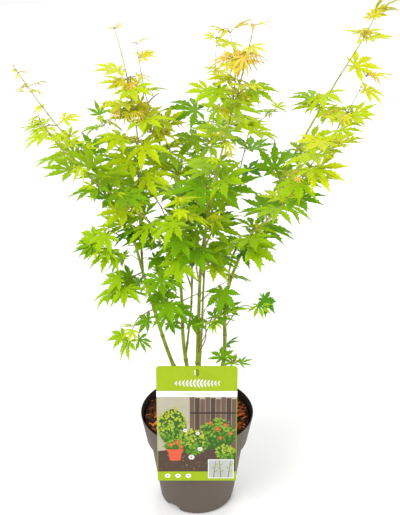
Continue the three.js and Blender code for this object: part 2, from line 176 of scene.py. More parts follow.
# Where the crown stands open to someone in front of it: limb, height, how far to its right, and radius.
CLEARINGS = [
    ("stem_left", 0.508, -0.022, 0.009),
    ("stem_left", 0.570, -0.040, 0.009),
    ("stem_left", 0.612, -0.030, 0.004),
    ("stem_left", 0.720, -0.022, 0.007),
    ("shoot_tall_left", 0.560, 0.015, 0.008),
    ("shoot_tall_left", 0.685, -0.068, 0.009),
    ("shoot_tall_left", 0.784, 0.002, 0.016),
    ("shoot_back_left", 0.730, 0.025, 0.011),
    ("shoot_back_left", 0.726, 0.052, 0.010),
    ("stem_centre", 0.513, 0.006, 0.014),
    ("stem_centre", 0.650, 0.034, 0.008),
    ("stem_centre", 0.787, 0.016, 0.006),
    ("stem_centre", 0.831, 0.000, 0.008),
    ("shoot_centre_fork", 0.814, -0.026, 0.007),
    ("stem_right", 0.525, 0.052, 0.010),
    ("stem_right", 0.532, -0.021, 0.007),
    ("stem_right", 0.578, -0.020, 0.013),
    ("stem_right", 0.590, 0.006, 0.004),
    ("stem_right", 0.680, -0.034, 0.018),
    ("stem_right", 0.685, 0.018, 0.008),
    ("stem_right", 0.768, -0.032, 0.010),
    ("stem_right", 0.740, 0.020, 0.009),
]

# Bunches of young amber leaves that hang about a shoot: limb, height, number of leaves and their length.
YOUNG_BUNCHES = [
    ("shoot_tall_left", 0.692, 9, 0.040),
    ("shoot_tall_left", 0.738, 4, 0.030),
    ("shoot_back_left", 0.672, 6, 0.036),
    ("stem_centre", 0.812, 6, 0.034),
    ("shoot_centre_fork", 0.795, 5, 0.032),
    ("stem_left", 0.750, 3, 0.024),
    ("stem_left", 0.770, 3, 0.019),
    ("shoot_right_front", 0.640, 3, 0.034),
    ("shoot_right_front", 0.745, 4, 0.044),
    ("stem_right", 0.590, 3, 0.030),
]

# Bare thin twigs between the lower stems: limb, height, compass turn in degrees, slope up and length.
BARE_TWIGS = [
    ("stem_centre", 0.395, 20, 0.55, 0.075),
    ("stem_right", 0.430, 205, 0.35, 0.070),
    ("stem_centre", 0.430, 160, 0.45, 0.060),
    ("stem_inner_left", 0.395, 15, 0.25, 0.060),
    ("stem_centre", 0.300, 330, 3.20, 0.120),
    ("stem_centre", 0.290, 300, 4.60, 0.110),
]

# Barked limbs: no limb's radius in metres is more than the first, and each is slimmer than in the CAD.
THICKEST_LIMB, SLIMNESS, BACK_STEM_SLIMNESS = 0.0055, 0.84, 0.60
# Two rings of corners of a CAD limb are further apart than this.
RING_GAP = 0.009
# The golden share of the greenest tint, and how much more the most golden one has.
LEAST_GOLD, GOLD_RANGE = 0.2, 0.66
# Leaves point away from the crown's heart, and those behind its middle plane face the back.
HEART_X, HEART_Y, MIDDLE_PLANE = 0.02, 0.03, 0.055
# How far a leaf's tip stays inside the CAD's box, and where a leaf's middle is on its length.
TIP_MARGIN, LEAF_MIDDLE = 0.004, 0.45
# How far a stem runs on down into the trunk, and how far under its fork a shoot starts in its parent.
STEM_SET, FORK_SET = 0.02, 0.006
# How far a side twig and its leaves reach at most, and from what length a twig has a third leaf pair.
LONGEST_REACH, LONG_TWIG = 0.085, 0.036
# Radii in metres at the foot, middle and end of a side twig, a bare twig and the spurs on a bare twig.
SIDE_TWIG, BARE_TWIG, SPUR = (0.0011, 0.0009, 0.0006), (0.0009, 0.0007, 0.0004), (0.0005, 0.0005, 0.0003)
# The same for a leaf stalk, as shares of the stalk radius.
STALK = (1.25, 0.9, 0.8)
# Bark is old where a limb has the first radius or more, and quite young where it is thinner by the second.
OLD_RADIUS, AGE_RANGE = 0.0034, 0.0022
# Half the length of the swelling at a joint, and how strongly its ring shows.
KNUCKLE_LENGTH, RING_STRENGTH = 0.0026, 0.75
# Thickness of one layer of print on the card, enough to keep the layers apart.
PRINT_LAYER = 0.00004


def clamped(value, low=0.0, high=1.0):
    return min(max(value, low), high)


def rgb(red, green, blue):
    """Linear colour from the usual 0 to 255 numbers."""
    def straight(value):
        value /= 255
        return value / 12.92 if value <= 0.04045 else ((value + 0.055) / 1.055) ** 2.4
    return tuple(straight(value) for value in (red, green, blue))


# Leaf tints from the deep green heart of the crown out to the golden shoot tips. They are partly the leaves'
# own colour, with golden young growth at the tips, and partly painted light: the deeper greens stand for
# painted shade inside the crown, and the golden ones for painted sunlight higher up.
TINTS = [
    ("deep_green", rgb(80, 138, 4)),
    ("leaf_green", rgb(118, 166, 2)),
    ("fresh_green", rgb(152, 188, 2)),
    ("lime", rgb(184, 206, 4)),
    ("yellow_green", rgb(204, 211, 22)),
    ("gold", rgb(218, 209, 46)),
    ("amber", rgb(230, 196, 84)),
]


def number_prop(name, description, default, **limits):
    return FloatProperty(name=name, description=description, default=default, min=0.0, **limits)


def length_prop(name, description, default):
    return number_prop(name, description, default, unit="LENGTH", precision=4)


def seed_prop(description, default):
    return IntProperty(name="Seed", description=description, default=default)


def colour_prop(name, description, default):
    return FloatVectorProperty(name=name, description=description, default=default, size=3, min=0.0,
                               max=1.0, subtype="COLOR")


# ---- settings ----
class MAPLE_PG_pot(bpy.types.PropertyGroup):
    rim_radius: length_prop("Rim radius", "Outside radius of the rim", POT_HIGH.x)
    height: length_prop("Height", "Height of the pot", POT_HIGH.z)
    base_radius: length_prop("Base radius", "Outside radius of the foot", 0.063)
    body_radius: length_prop("Body radius", "Radius of the body under the wide band", 0.080)
    band_radius: length_prop("Band radius", "Radius at the foot of the wide band", 0.086)
    band_height: length_prop("Band height", "Height of the wide band under the rim", 0.051)
    wall: length_prop("Wall", "Thickness of the wall", 0.0016)
    notch_width: length_prop("Notch width", "Width of a drain notch", 0.028)
    notch_height: length_prop("Notch height", "Height of a drain notch", 0.0108)
    outside: colour_prop("Outside", "Plastic outside", rgb(91, 81, 72))
    inside: colour_prop("Inside", "Plastic inside and on the rim", rgb(32, 25, 20))


class MAPLE_PG_ground(bpy.types.PropertyGroup):
    chip_density: number_prop("Chip density", "Bark chips to a square metre", 19000.0)
    chip_gap: length_prop("Chip gap", "Least distance between the middles of two chips", 0.0048)
    chip_length: length_prop("Chip length", "Length of a middling chip", 0.024)
    seed: seed_prop("Changes how the chips lie", 7)
    heap: length_prop("Heap", "How high the mulch stands over the soil", 0.010)
    dark: colour_prop("Dark bark", "Moist bark", rgb(54, 21, 4))
    red: colour_prop("Red bark", "Fresh bark", rgb(180, 84, 18))
    pale: colour_prop("Pale bark", "Dry splinters", rgb(238, 142, 52))


class MAPLE_PG_limbs(bpy.types.PropertyGroup):
    relief: number_prop("Relief", "Depth of the bark relief as a share of the radius", 0.16, max=1.0)
    knuckle: number_prop("Knuckle", "Swelling at each joint as a share of the radius", 0.24, max=1.0)
    knuckle_gap: length_prop("Knuckle gap", "Distance between two joints on an old stem", 0.062)
    olive: colour_prop("Old bark", "Olive bark of the stems", rgb(142, 160, 40))
    dark: colour_prop("Dark bark", "Shaded streaks and rings", rgb(84, 84, 20))
    young: colour_prop("Young bark", "Yellow-green bark of this year's shoots", rgb(172, 180, 62))
    red: colour_prop("Red bark", "Red-brown bark of thin boughs", rgb(120, 66, 40))


class MAPLE_PG_leaves(bpy.types.PropertyGroup):
    seed: seed_prop("Changes how every spray grows", 11)
    size: number_prop("Size", "Scales every leaf", 1.0, max=2.0)
    stalk: length_prop("Stalk radius", "Radius of a leaf stalk", 0.0006)
    facing: number_prop("Facing", "How far leaves turn their faces outwards to the light", 0.35, max=2.0)
    sweep: number_prop("Sweep", "How far leaves point away from the heart of the crown", 2.6)
    extra: number_prop("Extra leaves", "How often a third leaf or twig stands at a pair", 0.15, max=1.0)
    keep_off: number_prop("Keep off", "How far leaves keep off a clearing, in leaf lengths", 0.25, max=2.0)
    # Sun paints sunlight into the leaf colours: leaves higher up get more golden tints.
    sun: number_prop("Sun", "How much more golden the leaves are for each metre up the crown", 1.6)


class MAPLE_PG_card(bpy.types.PropertyGroup):
    ground: colour_prop("Ground", "Printed ground colour of the card", rgb(150, 174, 8))
    seed: seed_prop("Changes the printed leaves", 5)


class MAPLE_PG_stage(bpy.types.PropertyGroup):
    camera_place: FloatVectorProperty(name="Camera place", description="Where the camera stands", size=3,
                                      default=(0.005, -1.496, 1.315), subtype="TRANSLATION")
    camera_tilt: FloatProperty(name="Camera tilt", description="Camera's tilt up from straight down",
                               default=math.radians(60.6), subtype="ANGLE")
    lens: number_prop("Lens", "Focal length on a 36 mm frame", 76.9)
    floor_size: length_prop("Floor size", "Width of the floor", 14.0)


# ---- node helpers ----
def put(tree, kind, inputs=(), **settings):
    """Adds one node; an input is a value, a socket, or a node that stands for its first output."""
    node = tree.nodes.new(kind)
    for key, value in settings.items():
        setattr(node, key, value)
    for key, value in dict(inputs).items():
        if isinstance(value, bpy.types.Node):
            value = value.outputs[0]
        if isinstance(value, bpy.types.NodeSocket):
            tree.links.new(value, node.inputs[key])
        else:
            node.inputs[key].default_value = value
    return node


def maths(tree, operation, first, second=0.0):
    return put(tree, "ShaderNodeMath", {0: first, 1: second}, operation=operation).outputs[0]


def spread(tree, value, low, high, to_low=0.0, to_high=1.0):
    """Value stretched from one range to another and kept inside it."""
    numbers = {0: value, 1: low, 2: high, 3: to_low, 4: to_high}
    return put(tree, "ShaderNodeMapRange", numbers, clamp=True).outputs[0]


def blended(tree, share, first, second):
    def full(colour):
        return colour if isinstance(colour, bpy.types.NodeSocket) else (*colour[:3], 1.0)
    inputs = {0: share, 6: full(first), 7: full(second)}
    return put(tree, "ShaderNodeMix", inputs, data_type="RGBA").outputs[2]


def scaled(tree, vector, stretch):
    """Coordinates stretched per axis, for a grain that runs one way."""
    return put(tree, "ShaderNodeVectorMath", {0: vector, 1: stretch}, operation="MULTIPLY").outputs[0]


def noise_over(tree, place, scale, detail=2.0, **more):
    inputs = {"Vector": place, "Scale": scale, "Detail": detail, **more}
    return put(tree, "ShaderNodeTexNoise", inputs).outputs["Fac"]


def group_tree(name, kind, inputs, outputs):
    """An empty node group; a number tells a number socket and its default, a word another kind of socket.

    Gives the tree, its inputs and its output node.
    """
    tree = bpy.data.node_groups.new(name, kind)
    for label, told in inputs.items():
        number = {int: "Int", float: "Float"}.get(type(told))
        kind_word = f"NodeSocket{number or told}"
        made = tree.interface.new_socket(name=label, in_out="INPUT", socket_type=kind_word)
        if number:
            made.default_value = told
    for label, told in outputs.items():
        tree.interface.new_socket(name=label, in_out="OUTPUT", socket_type=f"NodeSocket{told}")
    return tree, tree.nodes.new("NodeGroupInput").outputs, tree.nodes.new("NodeGroupOutput")


def shared(name, make):
    """A node group that is made once and then used again."""
    return bpy.data.node_groups.get(name) or make(name)


def marks_of(tree, group, inputs):
    """What a shared group puts out for a material."""
    return put(tree, "ShaderNodeGroup", inputs, node_tree=group).outputs


def material(name, colour, roughness=0.5, specular=0.5):
    """A material with its Principled shader; gives the material, its tree and the shader."""
    made = bpy.data.materials.new(name)
    made.use_nodes = True
    made.diffuse_color = (*colour, 1.0)
    tree = made.node_tree
    shader = tree.nodes["Principled BSDF"]
    shader.inputs["Base Color"].default_value = (*colour, 1.0)
    shader.inputs["Roughness"].default_value = roughness
    shader.inputs["Specular IOR Level"].default_value = specular
    return made, tree, shader


def object_place(tree):
    return put(tree, "ShaderNodeTexCoord").outputs["Object"]


def own_value(tree, name):
    return put(tree, "ShaderNodeAttribute", attribute_name=name).outputs["Fac"]


def dress(tree, shader, colour, roughness, height, depth, strength=1.0):
    """Gives a shader its varying colour, if it has one, its varying roughness and its relief."""
    relief = put(tree, "ShaderNodeBump", {"Strength": strength, "Distance": depth, "Height": height})
    if colour is not None:
        tree.links.new(colour, shader.inputs["Base Color"])
    tree.links.new(roughness, shader.inputs["Roughness"])
    tree.links.new(relief.outputs["Normal"], shader.inputs["Normal"])


# ---- shared finishes ----
def grain_group(name):
    """Fine mottle and grain that moulded plastic, print and paper share."""
    tree, given, out = group_tree(name, "ShaderNodeTree", {"Place": "Vector", "Grain": 900.0, "Mottle": 18.0},
                                  {"Height": "Float", "Mottling": "Float"})
    tree.links.new(noise_over(tree, given["Place"], given["Grain"]), out.inputs["Height"])
    broad = noise_over(tree, given["Place"], given["Mottle"], 4.0)
    tree.links.new(spread(tree, broad, 0.3, 0.7), out.inputs["Mottling"])
    return tree


def streak_group(name):
    """Streaks along a limb, rings at its joints and small corky specks."""
    tree, given, out = group_tree(name, "ShaderNodeTree", {
        "Place": "Vector", "Knuckle": 0.0, "Streak": 420.0}, {"Shade": "Float", "Height": "Float"})
    long_grain = noise_over(tree, scaled(tree, given["Place"], (1.0, 1.0, 0.12)), given["Streak"], 3.0)
    specks = put(tree, "ShaderNodeTexVoronoi", {"Vector": given["Place"], "Scale": 260.0})
    speck = maths(tree, "MULTIPLY", spread(tree, specks.outputs["Distance"], 0.12, 0.22, 1.0, 0.0), 0.5)
    patch = spread(tree, noise_over(tree, given["Place"], 38.0, 3.0), 0.48, 0.68)
    streaks = spread(tree, long_grain, 0.42, 0.72)
    shade = maths(tree, "MAXIMUM", maths(tree, "MULTIPLY", streaks, 0.55),
                  maths(tree, "MULTIPLY", patch, 0.6))
    for mark in (speck, given["Knuckle"]):
        shade = maths(tree, "MAXIMUM", shade, mark)
    tree.links.new(shade, out.inputs["Shade"])
    tree.links.new(maths(tree, "ADD", long_grain, speck), out.inputs["Height"])
    return tree


def vein_group(name):
    """A midrib and side veins on each lobe, told by the leaf's map: U along the lobe and V across it."""
    tree, given, out = group_tree(name, "ShaderNodeTree", {"Map": "Vector", "Side veins": 60.0},
                                  {"Height": "Float", "Vein": "Float"})
    parts = put(tree, "ShaderNodeSeparateXYZ", {0: given["Map"]})
    off = maths(tree, "ABSOLUTE", maths(tree, "SUBTRACT", parts.outputs[1], 0.5))
    midrib = spread(tree, off, 0.02, 0.10, 1.0, 0.0)
    slant = maths(tree, "SUBTRACT", parts.outputs[0], maths(tree, "MULTIPLY", off, 0.55))
    wave = maths(tree, "SINE", maths(tree, "MULTIPLY", slant, given["Side veins"]))
    side = maths(tree, "MULTIPLY", spread(tree, wave, 0.55, 1.0), 0.4)
    vein = maths(tree, "MAXIMUM", midrib, side)
    tree.links.new(vein, out.inputs["Vein"])
    tree.links.new(maths(tree, "SUBTRACT", 1.0, vein), out.inputs["Height"])
    return tree


# ---- pieces ----
def add_piece(name, mesh, materials=(), nodes=()):
    for made in materials:
        mesh.materials.append(made)
    piece = bpy.data.objects.new(name, mesh)
    bpy.context.scene.collection.objects.link(piece)
    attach(piece, "root")
    if nodes:
        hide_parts(*nodes)
    return piece


def mesh_from(bm, name, smooth=True):
    for face in bm.faces:
        face.smooth = smooth
    mesh = bpy.data.meshes.new(name)
    bm.to_mesh(mesh)
    bm.free()
    return mesh


def socket_key(tree, label):
    return next(item.identifier for item in tree.interface.items_tree
                if item.name == label and item.in_out == "INPUT")


def grown(name, seed_mesh, tree, settings):
    """The plain mesh that a growth tree makes of a seed mesh."""
    holder = bpy.data.objects.new(name, seed_mesh)
    bpy.context.scene.collection.objects.link(holder)
    modifier = holder.modifiers.new("growth", "NODES")
    modifier.node_group = tree
    for label, value in settings.items():
        modifier[socket_key(tree, label)] = value
    bpy.context.view_layer.update()
    depsgraph = bpy.context.evaluated_depsgraph_get()
    mesh = bpy.data.meshes.new_from_object(holder.evaluated_get(depsgraph), preserve_all_data_layers=True,
                                           depsgraph=depsgraph)
    mesh.name = name
    bpy.data.objects.remove(holder)
    bpy.data.meshes.remove(seed_mesh)
    return mesh


def turned(profile, sides, place=None):
    """A closed shell turned about the upright axis from (radius, height, slot) points."""
    bm = bmesh.new()
    rings = []
    for radius, height, _ in profile:
        if radius < 1e-6:
            rings.append([bm.verts.new((0, 0, height))])
            continue
        ring = []
        for k in range(sides):
            angle = 2 * math.pi * k / sides
            point = Vector((radius * math.cos(angle), radius * math.sin(angle), height))
            ring.append(bm.verts.new(place(point, angle) if place else point))
        rings.append(ring)
    for k, (low, high) in enumerate(zip(rings, rings[1:])):
        for i in range(sides):
            j = (i + 1) % sides
            corners = [low[i % len(low)], low[j % len(low)], high[j % len(high)], high[i % len(high)]]
            corners = list(dict.fromkeys(corners))
            if len(corners) > 2:
                face = bm.faces.new(corners)
                face.material_index = profile[k][2]
    bmesh.ops.recalc_face_normals(bm, faces=bm.faces)
    return bm


# ---- limbs read off the frame ----
def corners_of(node):
    co = np.array([vertex.co for vertex in NODES[node].data.vertices])
    return np.unique(np.round(co, 5), axis=0)


def tree_of(node):
    """A search tree over a CAD node's surface."""
    mesh = NODES[node].data
    return BVHTree.FromPolygons([v.co for v in mesh.vertices], [p.vertices for p in mesh.polygons])


def rings_of(node):
    """Middle and radius of each ring of a CAD limb, from its foot, which is its thicker end."""
    co = corners_of(node)
    axis = np.linalg.svd(co - co.mean(0), full_matrices=False)[2][0]
    along = (co - co.mean(0)) @ axis
    order = np.argsort(along)
    breaks = np.flatnonzero(np.diff(along[order]) > RING_GAP) + 1
    rings = []
    for ring in np.split(order, breaks):
        middle = co[ring].mean(0)
        away = co[ring] - middle
        across = away - np.outer(away @ axis, axis)
        rings.append((Vector(middle), float(np.linalg.norm(across, axis=1).mean())))
    return rings if rings[0][1] > rings[-1][1] else rings[::-1]


class Path:
    """A smooth line with a radius, sampled every few millimetres."""

    def __init__(self, knots, radii, step=0.005):
        ends = [knots[0] * 2 - knots[1], *knots, knots[-1] * 2 - knots[-2]]
        self.points, self.radii = [], []
        for k in range(1, len(ends) - 2):
            a, b, c, d = ends[k - 1:k + 3]
            count = max(1, round((c - b).length / step))
            for i in range(count):
                t = i / count
                self.points.append(0.5 * (2 * b + (c - a) * t + (2 * a - 5 * b + 4 * c - d) * t * t
                                          + (3 * b - a - 3 * c + d) * t ** 3))
                self.radii.append(radii[k - 1] + (radii[k] - radii[k - 1]) * t)
        self.points.append(knots[-1].copy())
        self.radii.append(radii[-1])
        gaps = [(b - a).length for a, b in zip(self.points, self.points[1:])]
        self.lengths = [0.0, *np.cumsum(gaps).tolist()]

    def at(self, length):
        """Point, direction and radius at a distance from the foot."""
        k = clamped(int(np.searchsorted(self.lengths, length)) - 1, 0, len(self.points) - 2)
        share = clamped((length - self.lengths[k]) / max(self.lengths[k + 1] - self.lengths[k], 1e-9))
        point = self.points[k].lerp(self.points[k + 1], share)
        radius = self.radii[k] + (self.radii[k + 1] - self.radii[k]) * share
        return point, (self.points[k + 1] - self.points[k]).normalized(), radius

    def nearest(self, point):
        """Distance from the foot of the sampled point nearest to a place."""
        k = min(range(len(self.points)), key=lambda i: (self.points[i] - point).length_squared)
        return self.lengths[k]


def reach_into(mass, entry):
    """Points through the middle of a mass, from where its limb enters to a leaf short of its far end."""
    co = corners_of(mass)
    from_entry = co - np.array(entry)
    far = Vector(co[np.argmax(np.linalg.norm(from_entry, axis=1))])
    span = (far - entry).length
    axis = (far - entry) / span
    along = from_entry @ np.array(axis)
    limb, length = SPRAYS[mass][:2]
    level = 1.0 - clamped(axis.z * 1.1)
    whole = (1.0 - FADES.get(mass, 0.6)) ** 2
    beyond = 0.62 * level + 0.9 * (1.0 - level) * math.hypot(axis.x, axis.y) * whole
    if limb.startswith("bough_"):
        beyond = 1.25 if axis.z < 0.2 else 0.5
    stop = ENDS.get(mass, 0.96 - min(length * beyond / span, 0.5))
    points = []
    for share in (0.34 * stop, 0.68 * stop):
        weight = np.exp(-((along - share * span) / 0.02) ** 2)
        points.append(Vector((co * weight[:, None]).sum(0) / weight.sum()))
    return [*points, entry.lerp(far, stop)]


def limb_paths():
    """A path for every CAD limb, set into its parent at the foot and run on through its end mass."""
    rings = {name: rings_of(name) for name in LIMB_NODES}
    end_mass = {}
    for mass, (limb, *_) in SPRAYS.items():
        tip = rings[limb][-1][0]
        gap = tree_of(mass).find_nearest(tip)[3]
        if limb not in end_mass or gap < end_mass[limb][0]:
            end_mass[limb] = (gap, mass)
    paths = {}
    for name in LIMB_NODES:
        knots = [middle for middle, _ in rings[name]]
        radii = [radius for _, radius in rings[name]]
        radii[0] = min(radii[0], radii[1] * 1.2)
        slimness = BACK_STEM_SLIMNESS if name == "stem_back" else SLIMNESS
        radii = [min(radius, THICKEST_LIMB) * slimness for radius in radii]
        if name.startswith("stem_"):
            down = (knots[0] - knots[1]).normalized()
            knots.insert(0, knots[0] + down * STEM_SET)
            radii.insert(0, radii[0] * 1.2)
        else:
            knots.insert(0, foot_in_parent(name, knots[0], rings))
            radii.insert(0, radii[0] * 1.15)
        beyond = reach_into(end_mass[name][1], knots[-1])
        radii = [min(a, b) for a, b in zip(radii, [radii[0], *radii])]
        tip = radii[-1]
        paths[name] = Path(knots + beyond, radii + [tip * 0.8, tip * 0.65, tip * 0.4])
    return paths


def foot_in_parent(name, foot, rings):
    """The point on the parent limb's middle line that a shoot or bough springs from."""
    best = None
    for other, line in rings.items():
        if other == name:
            continue
        for (a, _), (b, _) in zip(line, line[1:]):
            share = clamped((foot - a).dot(b - a) / (b - a).length_squared)
            spot = a.lerp(b, share)
            if best is None or (spot - foot).length < best[0]:
                best = ((spot - foot).length, spot - (b - a).normalized() * FORK_SET)
    return best[1]


# ---- twigs, stalks and leaves ----
def square_to(way):
    """A level direction square to a limb or twig."""
    return way.cross(UP if abs(way.z) < 0.9 else FRONT).normalized()


def stray(rng, low, high):
    return Vector((rng.uniform(-1, 1), rng.uniform(-1, 1), rng.uniform(low, high)))


class Growth:
    """Everything that grows on the limbs: twig and stalk lines, and leaves by tint."""

    def __init__(self, settings, paths, eye):
        self.settings, self.paths, self.eye = settings, paths, Vector(eye)
        self.clearings = []
        for limb, height, aside, radius in CLEARINGS:
            spot = self.on_limb(limb, height)[0]
            self.clearings.append((self.seen(spot + Vector((aside, 0, 0))), radius))
        self.twigs, self.stalks = [], []
        self.leaves = {name: [] for name, _ in TINTS}
        self.homes = {name: Counter() for name, _ in TINTS}

    def rng(self, *marks):
        """The random numbers of one place on the plant."""
        return random.Random("".join(str(mark) for mark in marks) + str(self.settings.seed))

    def on_limb(self, limb, height):
        """Point, direction and radius where a limb crosses a height."""
        path = self.paths[limb]
        return path.at(min(path.lengths, key=lambda value: abs(path.at(value)[0].z - height)))

    def tint(self, gold, rng):
        last = len(TINTS) - 1
        step = (gold - LEAST_GOLD) / GOLD_RANGE * last + rng.gauss(0, 0.5)
        return TINTS[clamped(round(step), 0, last)][0]

    def seen(self, place):
        """Where a place is seen from the front, in the upright plane through the trunk."""
        eye = self.eye
        share = eye.y / (eye.y - place.y)
        return Vector((eye.x + share * (place.x - eye.x), eye.z + share * (place.z - eye.z)))

    def in_clearing(self, middle, length):
        spot = self.seen(middle)
        return any((spot - centre).length < radius + length * self.settings.keep_off
                   for centre, radius in self.clearings)

    def leaf(self, home, place, forward, length, lean, tint, shape, rng):
        """One leaf: its stalk end, the way its middle lobe points, its length and its lean to the light."""
        tip = place + forward * length
        (left, front, _), (right, back, _) = CAD_BOX
        outside = max(left - tip.x, tip.x - right, front - tip.y, tip.y - back)
        length -= clamped(outside + TIP_MARGIN, 0.0, length * 0.5)
        light = Vector((0.25 if place.x > 0 else -0.25, -1 if place.y < MIDDLE_PLANE else 1, 0.3))
        normal = (UP - forward * forward.z).normalized()
        normal = (normal + light * lean * self.settings.facing).normalized()
        normal = (Matrix.Rotation(rng.gauss(0, 0.24), 3, forward) @ normal).normalized()
        forward = (forward - normal * forward.dot(normal)).normalized()
        turn = Matrix((forward.cross(normal), forward, normal)).transposed().to_euler("XYZ")
        self.leaves[tint].append((place, turn, length * self.settings.size, shape))
        self.homes[tint][home] += 1

    def stalked_leaf(self, home, foot, out, stalk, length, droop, gold, rng, shape=None):
        """A leaf on its arching stalk, springing from foot towards out."""
        tint = self.tint(gold, rng)
        rise = UP * stalk * rng.uniform(0.05, 0.22)
        end = foot + out * stalk
        away = Vector((foot.x - HEART_X, (foot.y - HEART_Y) * 0.4, 0.0)) * self.settings.sweep
        flat = Vector((out.x, out.y, 0.0)).normalized() + away
        flat = flat.normalized() if flat.length > 0.2 else (FRONT + out).normalized()
        fall = math.radians(droop + rng.gauss(0, 10))
        forward = flat * math.cos(fall) - UP * math.sin(fall)
        if self.in_clearing(end + forward * length * LEAF_MIDDLE, length):
            return
        self.stalks.append(([foot, foot.lerp(end, 0.5) + rise, end], STALK))
        if shape is None:
            big = WIDE_LEAVES if droop > 8 else FLAT_LEAVES
            shape = rng.choice(big if length > 0.03 else SMALL_LEAVES)
        self.leaf(home, end, forward, length, droop / 20 * rng.random(), tint, shape, rng)

    def tip_bunch(self, home, end, ahead, length, gold, rng):
        """The young leaves that end a shoot: a pair that opens and folded ones ahead."""
        rise, closed = RISES.get(home, 22), home in RISES
        shape = THIN if length < 0.02 else FOLDED if closed else YOUNG
        for way in (-1, 1):
            aside = square_to(ahead) * way * (0.2 if closed else 1.0) + ahead * 0.6 + UP * 0.1
            self.stalked_leaf(home, end, aside.normalized(), length * 0.3, length * rng.uniform(0.75, 1.0),
                              -rise * ahead.z, gold, rng, shape)
        for _ in range(2 if length > 0.02 else 1):
            out = (ahead + stray(rng, -0.3, 0.5) * 0.6).normalized()
            size = length * rng.uniform(0.5, 0.8) * (1.5 if closed else 1.0)
            self.stalked_leaf(home, end, out, size * 0.35, size, 42 - rise, gold + 0.04, rng, FOLDED)

    def end_leaves(self, home, end, ahead, length, droop, gold, rng):
        """The full pair and the leaf ahead that end a low bough."""
        for way, size in ((-1, 0.85), (1, 0.85), (0, 1.0)):
            aside = (square_to(ahead) * way + ahead * 0.7 + UP * 0.15).normalized()
            self.stalked_leaf(home, end, aside, length * rng.uniform(0.3, 0.5),
                              length * size * rng.uniform(0.85, 1.05), droop, gold, rng)

    def side_twig(self, home, foot, out, reach, length, droop, gold, rng):
        """A side twig with leaf pairs along it and a leaf ahead."""
        long = max(reach - length * 0.7, length * 0.5)
        bow = UP * long * rng.uniform(0.02, 0.12)
        end = foot + out * long
        middle = foot.lerp(end, 0.5) + bow
        self.twigs.append(([foot, middle, end], SIDE_TWIG))
        stations = [(end, 0.8), (middle, 0.95)]
        if long > LONG_TWIG:
            stations = [(end, 0.8), (middle.lerp(end, 0.35), 0.9), (foot.lerp(middle, 0.75), 1.0)]
        for spot, size in stations:
            for way in (-1, 1):
                aside = (square_to(out) * way + out * 0.45 + UP * rng.uniform(-0.1, 0.25)).normalized()
                self.stalked_leaf(home, spot, aside, length * rng.uniform(0.28, 0.45),
                                  length * size * rng.uniform(0.85, 1.08), droop, gold, rng)
        self.stalked_leaf(home, end, out, length * 0.3, length * 0.8, droop, gold + 0.06, rng)

    def spray(self, mass):
        """All that grows along the stretch of limb inside one mass."""
        limb, length, gap, gold, droop, young = SPRAYS[mass]
        rng = self.rng(mass)
        path = self.paths[limb]
        skin = tree_of(mass)
        corners = [Vector(corner) for corner in corners_of(mass)]
        reaches = [path.nearest(corner) for corner in corners]
        start, stop = min(reaches), max(reaches)
        middle = sum(corner.z for corner in corners) / len(corners)
        ends_here = stop > path.lengths[-1] - 0.02
        turn = rng.uniform(0, math.pi)
        spot = start + gap * rng.uniform(0.35, 0.6)
        while spot < stop - (0.004 if ends_here else gap * 0.3):
            foot, ahead, radius = path.at(spot)
            share = (spot - start) / max(stop - start, 1e-6)
            size = length * (1.0 - FADES.get(mass, 0.3) * share ** 2 if ends_here else 1.0)
            # Painted sunlight: leaves above the middle of their mass get a more golden tint, and those below
            # it a greener one.
            sun = gold + self.settings.sun * (foot.z - middle)
            one = square_to(ahead)
            other = ahead.cross(one).normalized()
            turn += math.pi / 2 + rng.gauss(0, 0.2)
            for half in [0, math.pi] + [rng.uniform(1.0, 5.3)] * (rng.random() < self.settings.extra):
                angle = turn + half + rng.gauss(0, 0.15)
                out = one * math.cos(angle) + other * math.sin(angle) + ahead * 0.4
                out = Vector((out.x, out.y, out.z * 0.45 + 0.1)).normalized()
                hit = skin.ray_cast(foot + out * (radius + 0.0015), out)[3]
                reach = min(hit, LONGEST_REACH) if hit else length * 0.8
                leaf_size = min(size * rng.uniform(0.85, 1.1), max(reach * 1.3, size * 0.8))
                if reach > length * 0.9 + 0.006:
                    self.side_twig(mass, foot, out, reach, leaf_size, droop, sun, rng)
                else:
                    stalk = min(max(reach - 0.8 * leaf_size, leaf_size * 0.26), leaf_size * 0.7)
                    self.stalked_leaf(mass, foot, out, stalk + radius, leaf_size, droop, sun, rng)
                if rng.random() < young:
                    near = (out + ahead * 0.8).normalized()
                    self.stalked_leaf(mass, foot, near, leaf_size * 0.3, leaf_size * rng.uniform(0.4, 0.65),
                                      rng.uniform(20, 60), sun + 0.16, rng, YOUNG)
            thinner = 1.0 + 0.9 * share ** 2 if mass.endswith("_tip") else 1.0
            spot += gap * rng.uniform(0.85, 1.15) * thinner
        if ends_here:
            end, ahead, _ = path.at(path.lengths[-1])
            if limb.startswith("bough_"):
                self.end_leaves(mass, end, ahead, length, droop, gold, rng)
            else:
                small = length * (1.0 - FADES.get(mass, 0.3)) * 0.9
                # Painted sunlight here too, set by the height of the shoot's end.
                sun = gold + self.settings.sun * (end.z - middle)
                self.tip_bunch(mass, end, ahead, small, sun, rng)

    def lone_leaves(self):
        """The few leaf pairs that stand between the sprays."""
        for stem, height, compass, length, gold, droop in LONE_LEAVES:
            rng = self.rng(stem, height)
            foot, _, radius = self.on_limb(stem, height)
            for half in (0, 180):
                angle = math.radians(compass + half)
                out = Vector((math.cos(angle), math.sin(angle), 0.30)).normalized()
                self.stalked_leaf("foliage_centre_low", foot, out, radius + length * 0.5,
                                  length * rng.uniform(0.85, 1.05), droop, gold, rng, 0 if droop > 0 else 1)

